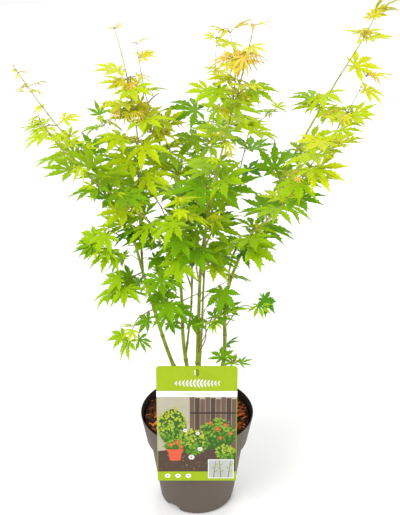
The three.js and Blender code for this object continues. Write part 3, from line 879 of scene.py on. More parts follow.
    def young_bunches(self):
        """Bunches of hanging young leaves at the joints of the tall shoots."""
        for limb, height, count, length in YOUNG_BUNCHES:
            rng = self.rng(limb, height)
            foot, _, radius = self.on_limb(limb, height)
            for k in range(count):
                angle = 2 * math.pi * (k + rng.uniform(-0.3, 0.3)) / count
                out = Vector((math.cos(angle), math.sin(angle), rng.uniform(0.1, 0.5))).normalized()
                size = length * rng.uniform(0.6, 1.1)
                stalk = radius + size * rng.uniform(0.3, 0.6)
                self.stalked_leaf("foliage_tall_left_tip", foot, out, stalk, size, rng.uniform(5, 50),
                                  rng.uniform(0.78, 0.98), rng, THIN)

    def bare_twigs(self):
        """The leafless twigs between the lower stems."""
        for limb, height, compass, slope, length in BARE_TWIGS:
            rng = random.Random(f"{limb}{height}{compass}")
            foot = self.on_limb(limb, height)[0]
            angle = math.radians(compass)
            out = Vector((math.cos(angle), math.sin(angle), slope)).normalized()
            end = foot + out * length
            bend = Vector((rng.uniform(-1, 1), rng.uniform(-1, 1), 1.0)) * length * 0.04
            self.twigs.append(([foot, foot.lerp(end, 0.5) + bend, end], BARE_TWIG))
            for share in (0.45, 0.7, 0.9):
                start = foot.lerp(end, share)
                way = (out + stray(rng, 0, 1) * 0.7).normalized() * length
                self.twigs.append(([start, start + way * 0.08, start + way * 0.16], SPUR))


def number_points(mesh, label, values, kind="FLOAT"):
    """Stores a number, a whole number or a vector on each point."""
    numbers = np.array(values, np.int32 if kind == "INT" else np.float32)
    key = "vector" if kind == "FLOAT_VECTOR" else "value"
    mesh.attributes.new(label, kind, "POINT").data.foreach_set(key, numbers.ravel())


def line_mesh(name, lines, values):
    """A mesh of bare lines; values gives the named numbers of each point as lists beside the points."""
    points, edges, numbers = [], [], {label: [] for label in values}
    for line, *columns in lines:
        first = len(points)
        points.extend(line)
        edges.extend((first + k, first + k + 1) for k in range(len(line) - 1))
        for label, column in zip(values, columns):
            numbers[label].extend(column)
    mesh = bpy.data.meshes.new(name)
    mesh.from_pydata(points, edges, [])
    for label, column in numbers.items():
        number_points(mesh, label, column)
    return mesh


def point_value(tree, name, kind="FLOAT"):
    return put(tree, "GeometryNodeInputNamedAttribute", {"Name": name}, data_type=kind)


def end_growth(tree, out, geometry, finish):
    """Ends a growth tree: what it grew becomes one plain mesh with its finish."""
    real = put(tree, "GeometryNodeRealizeInstances", {"Geometry": geometry})
    finished = put(tree, "GeometryNodeSetMaterial", {"Geometry": real, "Material": finish})
    tree.links.new(finished.outputs[0], out.inputs[0])
    return tree


def tube_tree(name):
    """Growth tree that wraps bare lines into closed tubes with relief, thick by their own thickness."""
    tree, given, out = group_tree(name, "GeometryNodeTree", {
        "Lines": "Geometry", "Sides": 8, "Relief": 0.1, "Relief scale": 300.0, "Seed": 1, "Bark": "Material",
    }, {"Tubes": "Geometry"})
    curves = put(tree, "GeometryNodeMeshToCurve", {"Mesh": given["Lines"]})
    ring = put(tree, "GeometryNodeCurvePrimitiveCircle", {"Resolution": given["Sides"], "Radius": 1.0})
    thick = point_value(tree, "thickness")
    tubes = put(tree, "GeometryNodeCurveToMesh", {
        "Curve": curves, "Profile Curve": ring, "Scale": thick, "Fill Caps": True})
    bumps = put(tree, "ShaderNodeTexNoise", {
        "Scale": given["Relief scale"], "Detail": 2.0, "W": given["Seed"]}, noise_dimensions="4D")
    lift = maths(tree, "MULTIPLY", maths(tree, "SUBTRACT", bumps.outputs["Fac"], 0.5), given["Relief"])
    lift = maths(tree, "MULTIPLY", lift, thick)
    normal = put(tree, "GeometryNodeInputNormal")
    offset = put(tree, "ShaderNodeVectorMath", {0: normal, "Scale": lift}, operation="SCALE")
    moved = put(tree, "GeometryNodeSetPosition", {"Geometry": tubes, "Offset": offset})
    smooth = put(tree, "GeometryNodeSetShadeSmooth", {"Geometry": moved})
    return end_growth(tree, out, smooth, given["Bark"])


def scatter_tree(name):
    """Growth tree that sets a pattern shape on every point, by the point's turn, size and shape number."""
    tree, given, out = group_tree(name, "GeometryNodeTree", {
        "Points": "Geometry", "Patterns": "Collection", "Size": 1.0, "Finish": "Material",
    }, {"Shapes": "Geometry"})
    patterns = put(tree, "GeometryNodeCollectionInfo", {
        "Collection": given["Patterns"], "Separate Children": True, "Reset Children": True})
    rotation = put(tree, "FunctionNodeEulerToRotation", {0: point_value(tree, "turn", "FLOAT_VECTOR")})
    set_out = put(tree, "GeometryNodeInstanceOnPoints", {
        "Points": given["Points"], "Instance": patterns, "Pick Instance": True,
        "Instance Index": point_value(tree, "shape", "INT"), "Rotation": rotation,
        "Scale": maths(tree, "MULTIPLY", point_value(tree, "size"), given["Size"])})
    return end_growth(tree, out, set_out, given["Finish"])


def point_mesh(name, points):
    """A mesh of bare points with the turn, size and shape number of what stands on each."""
    mesh = bpy.data.meshes.new(name)
    places, turns, sizes, shapes = zip(*points)
    mesh.from_pydata(places, [], [])
    number_points(mesh, "turn", [tuple(turn) for turn in turns], "FLOAT_VECTOR")
    number_points(mesh, "size", sizes)
    number_points(mesh, "shape", shapes, "INT")
    return mesh


# ---- leaf patterns ----
# A lobe: its turn from the middle lobe in degrees, its length and its half width as a share of that.
BROAD_LOBES = [(0, 1.0, 0.195), (41, 0.94, 0.185), (84, 0.72, 0.18), (130, 0.36, 0.18)]
MAIN_LOBES = [(0, 1.0, 0.170), (39, 0.97, 0.165), (79, 0.84, 0.155), (124, 0.46, 0.165)]
FINE_LOBES = [(0, 1.0, 0.145), (37, 0.98, 0.14), (75, 0.86, 0.135), (116, 0.46, 0.14)]
YOUNG_LOBES = [(0, 1.0, 0.105), (35, 0.90, 0.105), (72, 0.62, 0.11)]
FOLDED_LOBES = [(0, 1.0, 0.085), (20, 0.8, 0.085), (42, 0.55, 0.1)]
THIN_LOBES = [(0, 1.0, 0.065), (29, 0.88, 0.065), (62, 0.62, 0.07)]
# Edge of half a lobe as shares of its length and half width, from the cleft to the tip.
BROAD_EDGE = [(0.38, 0.70), (0.49, 1.04), (0.52, 0.74), (0.62, 0.94), (0.65, 0.58), (0.75, 0.64),
              (0.78, 0.32), (0.89, 0.19)]
PETAL_EDGE = [(0.27, 0.42), (0.42, 0.94), (0.45, 0.66), (0.57, 1.04), (0.60, 0.66), (0.72, 0.70),
              (0.75, 0.36), (0.88, 0.19)]
YOUNG_EDGE = [(0.45, 1.0), (0.74, 0.42)]
PLAIN_EDGE = [(0.55, 1.0)]
# Name, lobes, edge, depth of the clefts, droop of the lobes, fold along the midribs, twist, unevenness.
LEAF_PATTERNS = [
    ("leaf_a_broad", BROAD_LOBES, BROAD_EDGE, 0.33, 0.20, 0.36, 0.05, 0.06),
    ("leaf_b_hanging", MAIN_LOBES, PETAL_EDGE, 0.20, 0.26, 0.40, -0.06, 0.10),
    ("leaf_c_level", MAIN_LOBES, PETAL_EDGE, 0.19, 0.04, 0.42, 0.06, 0.12),
    ("leaf_d_fine", FINE_LOBES, PETAL_EDGE, 0.18, 0.08, 0.42, 0.08, 0.14),
    ("leaf_e_raised", MAIN_LOBES, PETAL_EDGE, 0.19, -0.10, 0.38, -0.08, 0.12),
    ("leaf_f_young", YOUNG_LOBES, YOUNG_EDGE, 0.18, 0.20, 0.45, 0.06, 0.14),
    ("leaf_g_folded", FOLDED_LOBES, YOUNG_EDGE, 0.20, 0.35, 0.60, 0.0, 0.0),
    ("leaf_h_thin", THIN_LOBES, YOUNG_EDGE, 0.14, 0.42, 0.50, 0.0, 0.10),
]
# Which patterns full hanging, full level and small leaves are dealt, by their place in the list.
WIDE_LEAVES = (0, 0, 1, 1, 2)
FLAT_LEAVES = (1, 2, 2, 3, 3, 4)
SMALL_LEAVES = (3, 3, 5)
YOUNG, FOLDED, THIN = 5, 6, 7
# Where on its midrib a lobe's two panels meet.
RIB = 0.52


def leaf_pattern(name, lobes, lobe_edge, cleft, droop, fold, twist, uneven):
    """A palmate leaf, one unit from stalk to tip, lying on XY with its middle lobe along +Y."""
    bm = bmesh.new()
    chart = bm.loops.layers.uv.new("UVMap")
    spread_out = [(-turn, long, half) for turn, long, half in lobes[:0:-1]] + lobes

    def lift(x, y, turn, aside):
        away = math.hypot(x, y)
        wave = uneven * math.sin(turn / 13 + 2 * droop) * away * away
        bent = fold * abs(aside) - droop * away * away + twist * x * y + wave
        return bent - 0.25 * max(0.0, away - 0.7) ** 2

    def corner(turn, along, aside):
        angle = math.radians(turn)
        x = along * math.sin(angle) + aside * math.cos(angle)
        y = along * math.cos(angle) - aside * math.sin(angle)
        return bm.verts.new((x, y, lift(x, y, turn, aside)))

    def panel(corners):
        face = bm.faces.new([vertex for vertex, _ in corners])
        for loop, (_, place) in zip(face.loops, corners):
            loop[chart].uv = place

    middle = corner(0, 0.0, 0.0)
    clefts = []
    for k in range(len(spread_out) + 1):
        if 0 < k < len(spread_out):
            (turn_a, long_a, _), (turn_b, long_b, _) = spread_out[k - 1:k + 1]
            clefts.append(corner((turn_a + turn_b) / 2, cleft * (long_a + long_b) / 2, 0.0))
        else:
            turn = spread_out[0][0] - 26 if k == 0 else spread_out[-1][0] + 26
            clefts.append(corner(turn, cleft * 0.32, 0.0))
    for k, (turn, long, half) in enumerate(spread_out):
        edge = lobe_edge if long > 0.5 else PLAIN_EDGE
        rib = corner(turn, long * RIB, 0.0)
        tip = corner(turn, long, 0.0)
        for way, cut in ((-1, clefts[k]), (1, clefts[k + 1])):
            side = [(corner(turn, long * s, way * h * half * long), (s, 0.5 + way * h * 0.5))
                    for s, h in edge]
            split = 2 if len(side) > 2 else 1
            inner = [(middle, (0.0, 0.5)), (cut, (0.25, 0.5 + way * 0.5)), *side[:split], (rib, (RIB, 0.5))]
            outer = [(rib, (RIB, 0.5)), *side[split - 1:], (tip, (1.0, 0.5))]
            for corners in (inner, outer):
                panel(corners if way < 0 else corners[::-1])
    bmesh.ops.recalc_face_normals(bm, faces=bm.faces)
    if sum(face.normal.z for face in bm.faces) < 0:
        bmesh.ops.reverse_faces(bm, faces=bm.faces)
    return mesh_from(bm, name)


def pattern_shelf(name, meshes):
    """A collection of pattern shapes, in the order of their names."""
    shelf = bpy.data.collections.new(name)
    bpy.context.scene.collection.children.link(shelf)
    for mesh in meshes:
        shelf.objects.link(bpy.data.objects.new(mesh.name, mesh))
    return shelf


def clear_shelf(shelf):
    for pattern in list(shelf.objects):
        mesh = pattern.data
        bpy.data.objects.remove(pattern)
        bpy.data.meshes.remove(mesh)
    bpy.data.collections.remove(shelf)


# ---- finishes of each kind of piece ----
def plastic(name, colour, lighter, grain, roughness):
    """Moulded plastic with a faint mottle, scuffs and a fine grain."""
    made, tree, shader = material(name, colour, roughness, 0.25)
    place = object_place(tree)
    marks = marks_of(tree, grain, {"Place": place, "Grain": 1400.0, "Mottle": 16.0})
    scuffs = noise_over(tree, scaled(tree, place, (1.0, 1.0, 0.15)), 120.0, 5.0, Roughness=0.7)
    share = maths(tree, "ADD", maths(tree, "MULTIPLY", marks["Mottling"], 0.45),
                  maths(tree, "MULTIPLY", spread(tree, scuffs, 0.58, 0.74), 0.4))
    dress(tree, shader, blended(tree, share, colour, lighter),
          spread(tree, marks["Mottling"], 0.0, 1.0, roughness - 0.07, roughness + 0.08),
          marks["Height"], 0.00012, 0.5)
    return made


def bark(name, settings, roughness=0.62):
    """Bark coloured by its own age, redness and joints, with streaks and specks."""
    made, tree, shader = material(name, tuple(settings.olive), roughness, 0.3)
    marks = marks_of(tree, shared("bark_streaks", streak_group), {
        "Place": object_place(tree), "Knuckle": own_value(tree, "knuckle")})
    plain = blended(tree, own_value(tree, "age"), settings.olive, settings.young)
    plain = blended(tree, own_value(tree, "redness"), plain, settings.red)
    dress(tree, shader, blended(tree, marks["Shade"], plain, settings.dark),
          spread(tree, marks["Shade"], 0.0, 1.0, roughness - 0.1, roughness + 0.2),
          marks["Height"], 0.0004, 0.6)
    return made


def leaf_finish(name, colour):
    """One leaf tint: satin, with raised veins that are a little glossier than the blade."""
    made, tree, shader = material(name, colour, 0.6, 0.16)
    chart = put(tree, "ShaderNodeUVMap", uv_map="UVMap")
    marks = marks_of(tree, shared("leaf_veins", vein_group), {"Map": chart, "Side veins": 60.0})
    dress(tree, shader, None, spread(tree, marks["Vein"], 0.0, 1.0, 0.66, 0.5), marks["Height"], 0.0004, 0.6)
    return made


def print_finish(name, colour, grain):
    """Ink on glossy card, with the faint unevenness of print."""
    made, tree, shader = material(name, colour, 0.42, 0.25)
    marks = marks_of(tree, grain, {"Place": object_place(tree), "Grain": 2600.0, "Mottle": 45.0})
    darker = tuple(value * 0.9 for value in colour)
    dress(tree, shader, blended(tree, marks["Mottling"], colour, darker),
          spread(tree, marks["Mottling"], 0.0, 1.0, 0.36, 0.5), marks["Height"], 0.00003, 0.3)
    return made


def chip_finish(name, settings):
    """Bark chips: each has its own tint, with dark fibres along it."""
    made, tree, shader = material(name, tuple(settings.red), 0.75, 0.2)
    tint = own_value(tree, "tint")
    low = blended(tree, spread(tree, tint, 0.15, 0.6), settings.dark, settings.red)
    plain = blended(tree, spread(tree, tint, 0.75, 1.0), low, settings.pale)
    fibres = noise_over(tree, object_place(tree), 420.0, 4.0)
    fibre = spread(tree, fibres, 0.4, 0.65)
    dress(tree, shader, blended(tree, maths(tree, "MULTIPLY", fibre, 0.6), plain, settings.dark),
          spread(tree, fibre, 0.0, 1.0, 0.55, 0.9), fibres, 0.0006, 0.8)
    return made


def soil_finish(name, settings):
    """Moist black soil in small crumbs."""
    made, tree, shader = material(name, tuple(settings.dark), 0.95, 0.2)
    crumbs = noise_over(tree, object_place(tree), 260.0, 6.0)
    lump = spread(tree, crumbs, 0.35, 0.7)
    black = tuple(value * 0.25 for value in settings.dark)
    dress(tree, shader, blended(tree, lump, black, settings.dark), spread(tree, lump, 0.0, 1.0, 1.0, 0.8),
          crumbs, 0.0015)
    return made


# ---- pot ----
def pot_outline(pot):
    """(radius, height, slot) from the middle of the underside, up the outside and down the inside."""
    top, foot = pot.height, pot.height - pot.band_height
    rim, base, wall = pot.rim_radius, pot.base_radius, pot.wall

    def body(height):
        return base + (pot.body_radius - base) * height / foot

    def band(height):
        return pot.band_radius + (rim - pot.band_radius) * (height - foot) / pot.band_height

    outside = [(0.0, 0.0), (0.044, 0.0), (0.050, 0.0), (base - 0.005, 0.0), (base - 0.0028, 0.0004),
               (base - 0.001, 0.0018), (body(0.004), 0.004), (body(0.0065), 0.0065), (body(0.012), 0.012)]
    outside += [(body(foot * share), foot * share) for share in (0.3, 0.5, 0.7, 0.9)]
    outside += [(body(foot - 0.004), foot - 0.004), (body(foot - 0.002), foot - 0.0022),
                (pot.band_radius - 0.0032, foot - 0.0008), (pot.band_radius - 0.001, foot),
                (band(foot + 0.001), foot + 0.0012), (band(foot + 0.004), foot + 0.004)]
    outside += [(band(foot + pot.band_height * share), foot + pot.band_height * share)
                for share in (0.3, 0.6, 0.9)]
    lip = [(rim - 0.0001, top - 0.0014), (rim, top - 0.0008), (rim - 0.0004, top - 0.0001),
           (rim - wall + 0.0004, top), (rim - wall, top - 0.0008)]
    inside = [(band(foot + 0.02) - wall, foot + 0.02), (band(foot + 0.003) - wall, foot + 0.003),
              (body(foot) - wall, foot - 0.001), (body(0.006) - wall, 0.006), (base - 0.006, 0.0024),
              (0.0, 0.0024)]
    return [(r, h, 0) for r, h in outside + lip[:3]] + [(r, h, 1) for r, h in lip[3:] + inside]


def notch_lift(pot):
    """Lifts the foot of the wall into low arches where water drains."""
    turns = [math.radians(230 + 120 * k) for k in range(3)]

    def place(point, angle):
        off = min(abs((angle - turn + math.pi) % (2 * math.pi) - math.pi) for turn in turns)
        aside, half = off * pot.base_radius, pot.notch_width / 2
        if aside < half and point.z < pot.notch_height:
            arch = pot.notch_height * math.sqrt(1 - (aside / half) ** 4)
            fade = clamped((math.hypot(point.x, point.y) - 0.0445) / 0.005)
            point.z = max(point.z, arch * fade)
        return point
    return place


# ---- bark mulch ----
# How many shapes of chip are dealt.
CHIP_PATTERNS = 5


def bed_place(seed):
    def place(point, _):
        away = math.hypot(point.x, point.y)
        if point.z > SOIL_LOW.z + 0.01:
            rough = noise.noise(Vector((point.x * 70, point.y * 70, seed))) * 0.0022
            point.z += rough - 0.002 * min(away / 0.09, 1.0)
        return point
    return place


def chip_pattern(name, rng):
    """An angular splinter of bark, one unit long."""
    bm = bmesh.new()
    for k in range(11):
        x = -0.5 + k / 10
        girth = 0.25 + 0.75 * math.sin(math.pi * clamped(x + 0.5, 0.08, 0.92))
        bm.verts.new((x, rng.uniform(-0.24, 0.24) * girth, rng.uniform(-0.1, 0.1) * girth))
    bmesh.ops.convex_hull(bm, input=bm.verts)
    bmesh.ops.delete(bm, geom=[v for v in bm.verts if not v.link_faces], context="VERTS")
    bmesh.ops.recalc_face_normals(bm, faces=bm.faces)
    return mesh_from(bm, name, smooth=False)


def mulch_tree(name):
    """Growth tree that strews chips over a bed, smaller ones near the wall, each with its own tint."""
    tree, given, out = group_tree(name, "GeometryNodeTree", {
        "Bed": "Geometry", "Patterns": "Collection", "Density": 20000.0, "Gap": 0.004, "Chip length": 0.016,
        "Bed radius": 0.09, "Seed": 7, "Finish": "Material",
    }, {"Chips": "Geometry"})

    def dealt(kind, low, high, seed):
        """A random value of its own for each chip."""
        first, output = {"FLOAT": (2, 1), "INT": (4, 2), "FLOAT_VECTOR": (0, 0)}[kind]
        inputs = {first: low, first + 1: high, "Seed": seed}
        return put(tree, "FunctionNodeRandomValue", inputs, data_type=kind).outputs[output]

    facing = put(tree, "ShaderNodeSeparateXYZ", {0: put(tree, "GeometryNodeInputNormal")})
    upward = put(tree, "FunctionNodeCompare", {0: facing.outputs[2], 1: 0.5}, data_type="FLOAT",
                 operation="GREATER_THAN")
    points = put(tree, "GeometryNodeDistributePointsOnFaces", {
        "Mesh": given["Bed"], "Selection": upward, "Distance Min": given["Gap"],
        "Density Max": given["Density"], "Seed": given["Seed"]}, distribute_method="POISSON")
    flat = scaled(tree, put(tree, "GeometryNodeInputPosition").outputs[0], (1.0, 1.0, 0.0))
    away = put(tree, "ShaderNodeVectorMath", {0: flat}, operation="LENGTH").outputs["Value"]
    room = maths(tree, "MULTIPLY", maths(tree, "SUBTRACT", given["Bed radius"], away), 1.7)
    size = maths(tree, "MULTIPLY", dealt("FLOAT", 0.55, 1.35, given["Seed"]), given["Chip length"])
    rotation = put(tree, "FunctionNodeEulerToRotation", {
        0: dealt("FLOAT_VECTOR", (-0.5, -0.38, 0.0), (0.5, 0.38, 6.283), 3)})
    shelf = put(tree, "GeometryNodeCollectionInfo", {
        "Collection": given["Patterns"], "Separate Children": True, "Reset Children": True})
    chips = put(tree, "GeometryNodeInstanceOnPoints", {
        "Points": points, "Instance": shelf, "Pick Instance": True,
        "Instance Index": dealt("INT", 0, CHIP_PATTERNS - 1, 9), "Rotation": rotation,
        "Scale": maths(tree, "MINIMUM", size, maths(tree, "MAXIMUM", room, 0.003))})
    tinted = put(tree, "GeometryNodeStoreNamedAttribute", {
        "Geometry": chips, "Name": "tint", "Value": dealt("FLOAT", 0.0, 1.0, 21)},
        data_type="FLOAT", domain="INSTANCE")
    raised = put(tree, "GeometryNodeTranslateInstances", {
        "Instances": tinted, "Translation": (0.0, 0.0, 0.0014)})
    return end_growth(tree, out, raised, given["Finish"])


# ---- picture card ----
class CardFace:
    """The front of the card: places a point x across and h up from its foot, a hair in front of it."""

    def __init__(self):
        mesh = NODES["picture_card"].data
        front = [p for p in mesh.polygons if p.normal.y < -0.9 and p.normal.z > 0.02]
        area = sum(p.area for p in front)
        self.out = sum((p.normal * p.area for p in front), Vector()) / area
        self.out.normalize()
        self.up = Vector((0, -self.out.z, self.out.y)).normalized()
        self.up = self.up if self.up.z > 0 else -self.up
        corners = [mesh.vertices[k].co for p in front for k in p.vertices]
        self.foot = min(corner.dot(self.up) for corner in corners)
        self.height = max(corner.dot(self.up) for corner in corners) - self.foot
        self.half = max(corner.x for corner in corners)
        self.depth = max(corner.dot(self.out) for corner in corners)

    def place(self, x, h, layer):
        return Vector((x, 0, 0)) + self.up * (self.foot + h) + self.out * (self.depth + PRINT_LAYER * layer)


class Print:
    """Flat printed shapes on the card, in layers, one material to a colour."""

    def __init__(self, face):
        self.face, self.bm = face, bmesh.new()

    def shape(self, outline, layer, ink):
        corners = [self.bm.verts.new(self.face.place(x, h, layer)) for x, h in outline]
        made = self.bm.faces.new(corners)
        made.normal_update()
        if made.normal.dot(self.face.out) < 0:
            made.normal_flip()
        made.material_index = ink

    def box(self, left, low, right, high, layer, ink):
        self.shape([(left, low), (right, low), (right, high), (left, high)], layer, ink)

    def disc(self, x, h, radius, layer, ink, squash=1.0):
        turns = [2 * math.pi * k / 20 for k in range(20)]
        tall = radius * squash
        self.shape([(x + radius * math.cos(a), h + tall * math.sin(a)) for a in turns], layer, ink)

    def leaflet(self, x, h, length, turn, layer, ink, width=0.36):
        """A pointed oval leaflet from its stalk end."""
        points = []
        for k, share in enumerate((0.0, 0.2, 0.45, 0.75, 1.0, 0.75, 0.45, 0.2)):
            side = width * 0.5 * math.sin(math.pi * share ** 0.8) * (1 if k <= 4 else -1)
            a, b = share * length, side * length
            points.append((x + a * math.cos(turn) - b * math.sin(turn),
                           h + a * math.sin(turn) + b * math.cos(turn)))
        self.shape(points, layer, ink)

    def star_leaf(self, x, h, size, turn, layer, ink):
        """A little five-fingered leaf."""
        for k, share in enumerate((0.55, 0.85, 1.0, 0.85, 0.55)):
            self.leaflet(x, h, size * share, turn + (k - 2) * 0.72, layer, ink, 0.3)


INKS = [
    ("ink_white", rgb(236, 236, 230)),
    ("ink_sky", rgb(172, 166, 146)),
    ("ink_plum", rgb(104, 82, 68)),
    ("ink_deep_green", rgb(52, 92, 26)),
    ("ink_green", rgb(92, 140, 34)),
    ("ink_fresh_green", rgb(134, 168, 48)),
    ("ink_yellow_green", rgb(178, 188, 60)),
    ("ink_coral", rgb(212, 88, 60)),
    ("ink_soil", rgb(56, 42, 34)),
    ("ink_grey", rgb(176, 178, 178)),
    ("ink_pink", rgb(214, 138, 160)),
    ("ink_twig", rgb(128, 128, 34)),
    ("ink_brown", rgb(78, 60, 50)),
]
WHITE, SKY, PLUM, DEEP, GREEN, FRESH, YELLOW, CORAL, EARTH, GREY, PINK, TWIG, BROWN = range(len(INKS))


def shrub(card, x, h, wide, tall, count, inks, layer, rng):
    """A rounded shrub of little leaves, lighter towards its top."""
    card.disc(x, h, wide, layer, DEEP, tall / wide)
    for k in range(count):
        turn, away = rng.uniform(0, 2 * math.pi), math.sqrt(rng.random()) * 1.08
        up = away * math.sin(turn)
        ink = inks[clamped(int((up + 1) / 2 * len(inks) + rng.uniform(-0.9, 0.9)), 0, len(inks) - 1)]
        card.star_leaf(x + wide * away * math.cos(turn), h + tall * up, rng.uniform(0.0026, 0.0052),
                       rng.uniform(0, 2 * math.pi), layer + 0.5 + 2 * k / count, ink)


def blossom(card, x, h, size, layer, petals, eye):
    out = size * 0.6
    for k in range(6):
        turn = k * math.pi / 3
        card.disc(x + out * math.cos(turn), h + out * math.sin(turn), size * 0.5, layer, petals)
    card.disc(x, h, size * 0.36, layer + 1, eye)


def garden_picture(card, half, low, high, rng):
    """A made-up garden: a plank fence, rounded shrubs of small leaves, a coral flower tub and blossom."""
    tall = high - low
    card.box(-half, low, half, high, 1, SKY)
    for k in range(9):
        left = -half * 0.18 + k * half * 0.132
        card.box(left, low + tall * 0.3, min(left + half * 0.122, half), high - 0.002 * (k % 3), 2,
                 (PLUM, BROWN, PLUM)[k % 3])
    card.box(-half * 0.18, low + tall * 0.78, half, low + tall * 0.80, 3, EARTH)
    card.shape([(-half, low), (half, low), (half, low + tall * 0.26), (half * 0.1, low + tall * 0.34),
                (-half, low + tall * 0.28)], 4, BROWN)
    for _ in range(60):
        card.leaflet(rng.uniform(-half, half * 0.94), low + rng.uniform(0.0, tall * 0.22),
                     rng.uniform(0.002, 0.005), rng.uniform(0, math.pi), 5,
                     rng.choice((EARTH, PLUM, TWIG, DEEP)), 0.4)
    greens, bright, gilded = (DEEP, GREEN, FRESH), (GREEN, FRESH, YELLOW), (GREEN, FRESH, YELLOW, YELLOW)
    for x, h, wide, high_up, count, inks, layer in (
            (-0.62, 0.60, 0.36, 0.24, 190, gilded, 5), (0.52, 0.50, 0.44, 0.20, 210, greens, 5),
            (-0.10, 0.40, 0.36, 0.16, 170, bright, 8), (0.74, 0.26, 0.24, 0.11, 90, bright, 8)):
        shrub(card, half * x, low + tall * h, half * wide, tall * high_up, count, inks, layer, rng)
    tub, rim = -half * 0.56, low + tall * 0.30
    shrub(card, tub, rim + 0.007, half * 0.26, tall * 0.08, 60, greens, 11, rng)
    card.shape([(tub - 0.012, rim), (tub - 0.0085, rim - 0.021), (tub + 0.0085, rim - 0.021),
                (tub + 0.012, rim)], 14, CORAL)
    card.box(tub - 0.0135, rim - 0.003, tub + 0.0135, rim + 0.001, 15, CORAL)
    coral_spots = ((-0.66, 0.37, 0.0036), (-0.50, 0.40, 0.0044), (-0.40, 0.34, 0.0034), (0.34, 0.66, 0.0034),
                   (0.52, 0.58, 0.0042), (0.72, 0.63, 0.0036), (0.60, 0.46, 0.0030), (0.86, 0.52, 0.0030))
    white_spots = ((-0.14, 0.20, 0.0046), (0.08, 0.31, 0.0036), (-0.30, 0.56, 0.0032), (0.02, 0.52, 0.0030))
    for spots, petals, eye in ((coral_spots, CORAL, YELLOW), (white_spots, WHITE, PINK)):
        for x, h, size in spots:
            blossom(card, half * x, low + tall * h, size, 14, petals, eye)


def twig_inset(card, left, low, right, high):
    """A pale inset with upright forked sprigs."""
    card.box(left, low, right, high, 16, WHITE)
    edge = 0.0012
    card.box(left + edge, low + edge, right - edge, high - edge, 17, GREY)
    for x, lean in ((0.22, 0.1), (0.5, -0.08), (0.78, 0.12)):
        foot = left + (right - left) * x
        tall = (high - low) - 2.5 * edge
        top = foot + lean * tall
        width = 0.0009
        base = low + edge
        card.shape([(foot - width, base), (foot + width, base), (top + width * 0.5, base + tall),
                    (top - width * 0.5, base + tall)], 18, TWIG)
        for share, way in ((0.3, 1), (0.5, -1), (0.68, 1)):
            stem = foot + lean * tall * share
            card.leaflet(stem, base + tall * share, tall * 0.26, math.pi / 2 - way * 0.8, 19, FRESH, 0.22)


def head_sprig(card, h):
    """A long white sprig of paired leaflets across the head of the card."""
    card.box(-0.036, h - 0.0003, 0.036, h + 0.0003, 3, WHITE)
    for k in range(-6, 7):
        size = 0.0095 - 0.0007 * abs(k)
        for way in (-1, 1):
            card.leaflet(k * 0.0056, h, size, way * (math.pi / 2 - 0.5), 3, WHITE, 0.34)


def card_print(face, seed):
    """The whole print: a lime head and foot, a white sprig, the garden picture and an inset."""
    rng = random.Random(seed)
    card = Print(face)
    half, top = face.half, face.height
    picture_low, picture_high = 0.018, top - 0.056
    garden_picture(card, half - 0.0008, picture_low, picture_high, rng)
    card.box(-half, picture_high, half, picture_high + 0.011, 11, WHITE)
    for way in (-1, 1):
        card.leaflet(0.0, picture_high + 0.0055, 0.030, math.pi / 2 - way * math.pi / 2, 12, FRESH, 0.05)
    head_sprig(card, top - 0.031)
    twig_inset(card, half - 0.046, 0.005, half - 0.004, 0.042)
    for k in range(3):
        card.disc(-half + 0.016 + k * 0.017, 0.0095, 0.0046, 3, WHITE, 0.85)
        card.leaflet(-half + 0.0135 + k * 0.017, 0.0095, 0.005, 0.0, 4, GREEN, 0.5)
    return mesh_from(card.bm, "card_print", smooth=False)


# ---- operators ----
# Name, place, size in metres and power in watts of each soft lamp.
LAMPS = [
    ("key", (-1.6, -1.9, 2.4), 1.6, 60.0),
    ("fill", (2.2, -1.6, 1.0), 1.8, 26.0),
    ("back", (0.4, 2.4, 2.0), 1.6, 30.0),
]
# What the lines of limbs, twigs and stalks tell the bark at each point.
LINE_NUMBERS = ("thickness", "knuckle", "age", "redness")


class MAPLE_OT_stage(bpy.types.Operator):
    """Pale floor, soft light and the camera"""
    bl_idname = "maple.stage"
    bl_label = "Stage"
    bl_options = {"REGISTER", "UNDO"}

    def execute(self, context):
        stage = context.scene.maple_stage
        half = stage.floor_size / 2
        mesh = bpy.data.meshes.new("floor")
        corners = [(-half, -half), (half, -half), (half, half), (-half, half)]
        hair_under_pot = -0.0004
        mesh.from_pydata([(x, y, hair_under_pot) for x, y in corners], [], [(0, 1, 2, 3)])
        made, tree, shader = material("studio_floor", (0.93, 0.93, 0.93), 0.9, 0.1)
        faint = noise_over(tree, object_place(tree), 6.0)
        pale = blended(tree, faint, (0.92, 0.92, 0.92), (0.95, 0.95, 0.95))
        tree.links.new(pale, shader.inputs["Base Color"])
        mesh.materials.append(made)
        floor = bpy.data.objects.new("floor", mesh)
        context.scene.collection.objects.link(floor)
        world = bpy.data.worlds.new("studio")
        world.use_nodes = True
        light = world.node_tree.nodes["Background"].inputs
        light["Color"].default_value = (1.0, 1.0, 1.0, 1.0)
        light["Strength"].default_value = 0.8
        context.scene.world = world
        context.scene.view_settings.view_transform = "Standard"
        middle = Vector((0.0, 0.03, 0.5))
        for name, place, size, power in LAMPS:
            lamp = bpy.data.lights.new(name, "AREA")
            lamp.size, lamp.energy = size, power
            holder = bpy.data.objects.new(name, lamp)
            holder.location = place
            holder.rotation_euler = (middle - Vector(place)).to_track_quat("-Z", "Y").to_euler()
            context.scene.collection.objects.link(holder)
        camera = bpy.data.cameras.new("camera")
        camera.lens, camera.sensor_width = stage.lens, 36.0
        holder = bpy.data.objects.new("camera", camera)
        holder.location = stage.camera_place
        holder.rotation_euler = (stage.camera_tilt, 0.0, 0.0)
        context.scene.collection.objects.link(holder)
        context.scene.camera = holder
        return {"FINISHED"}


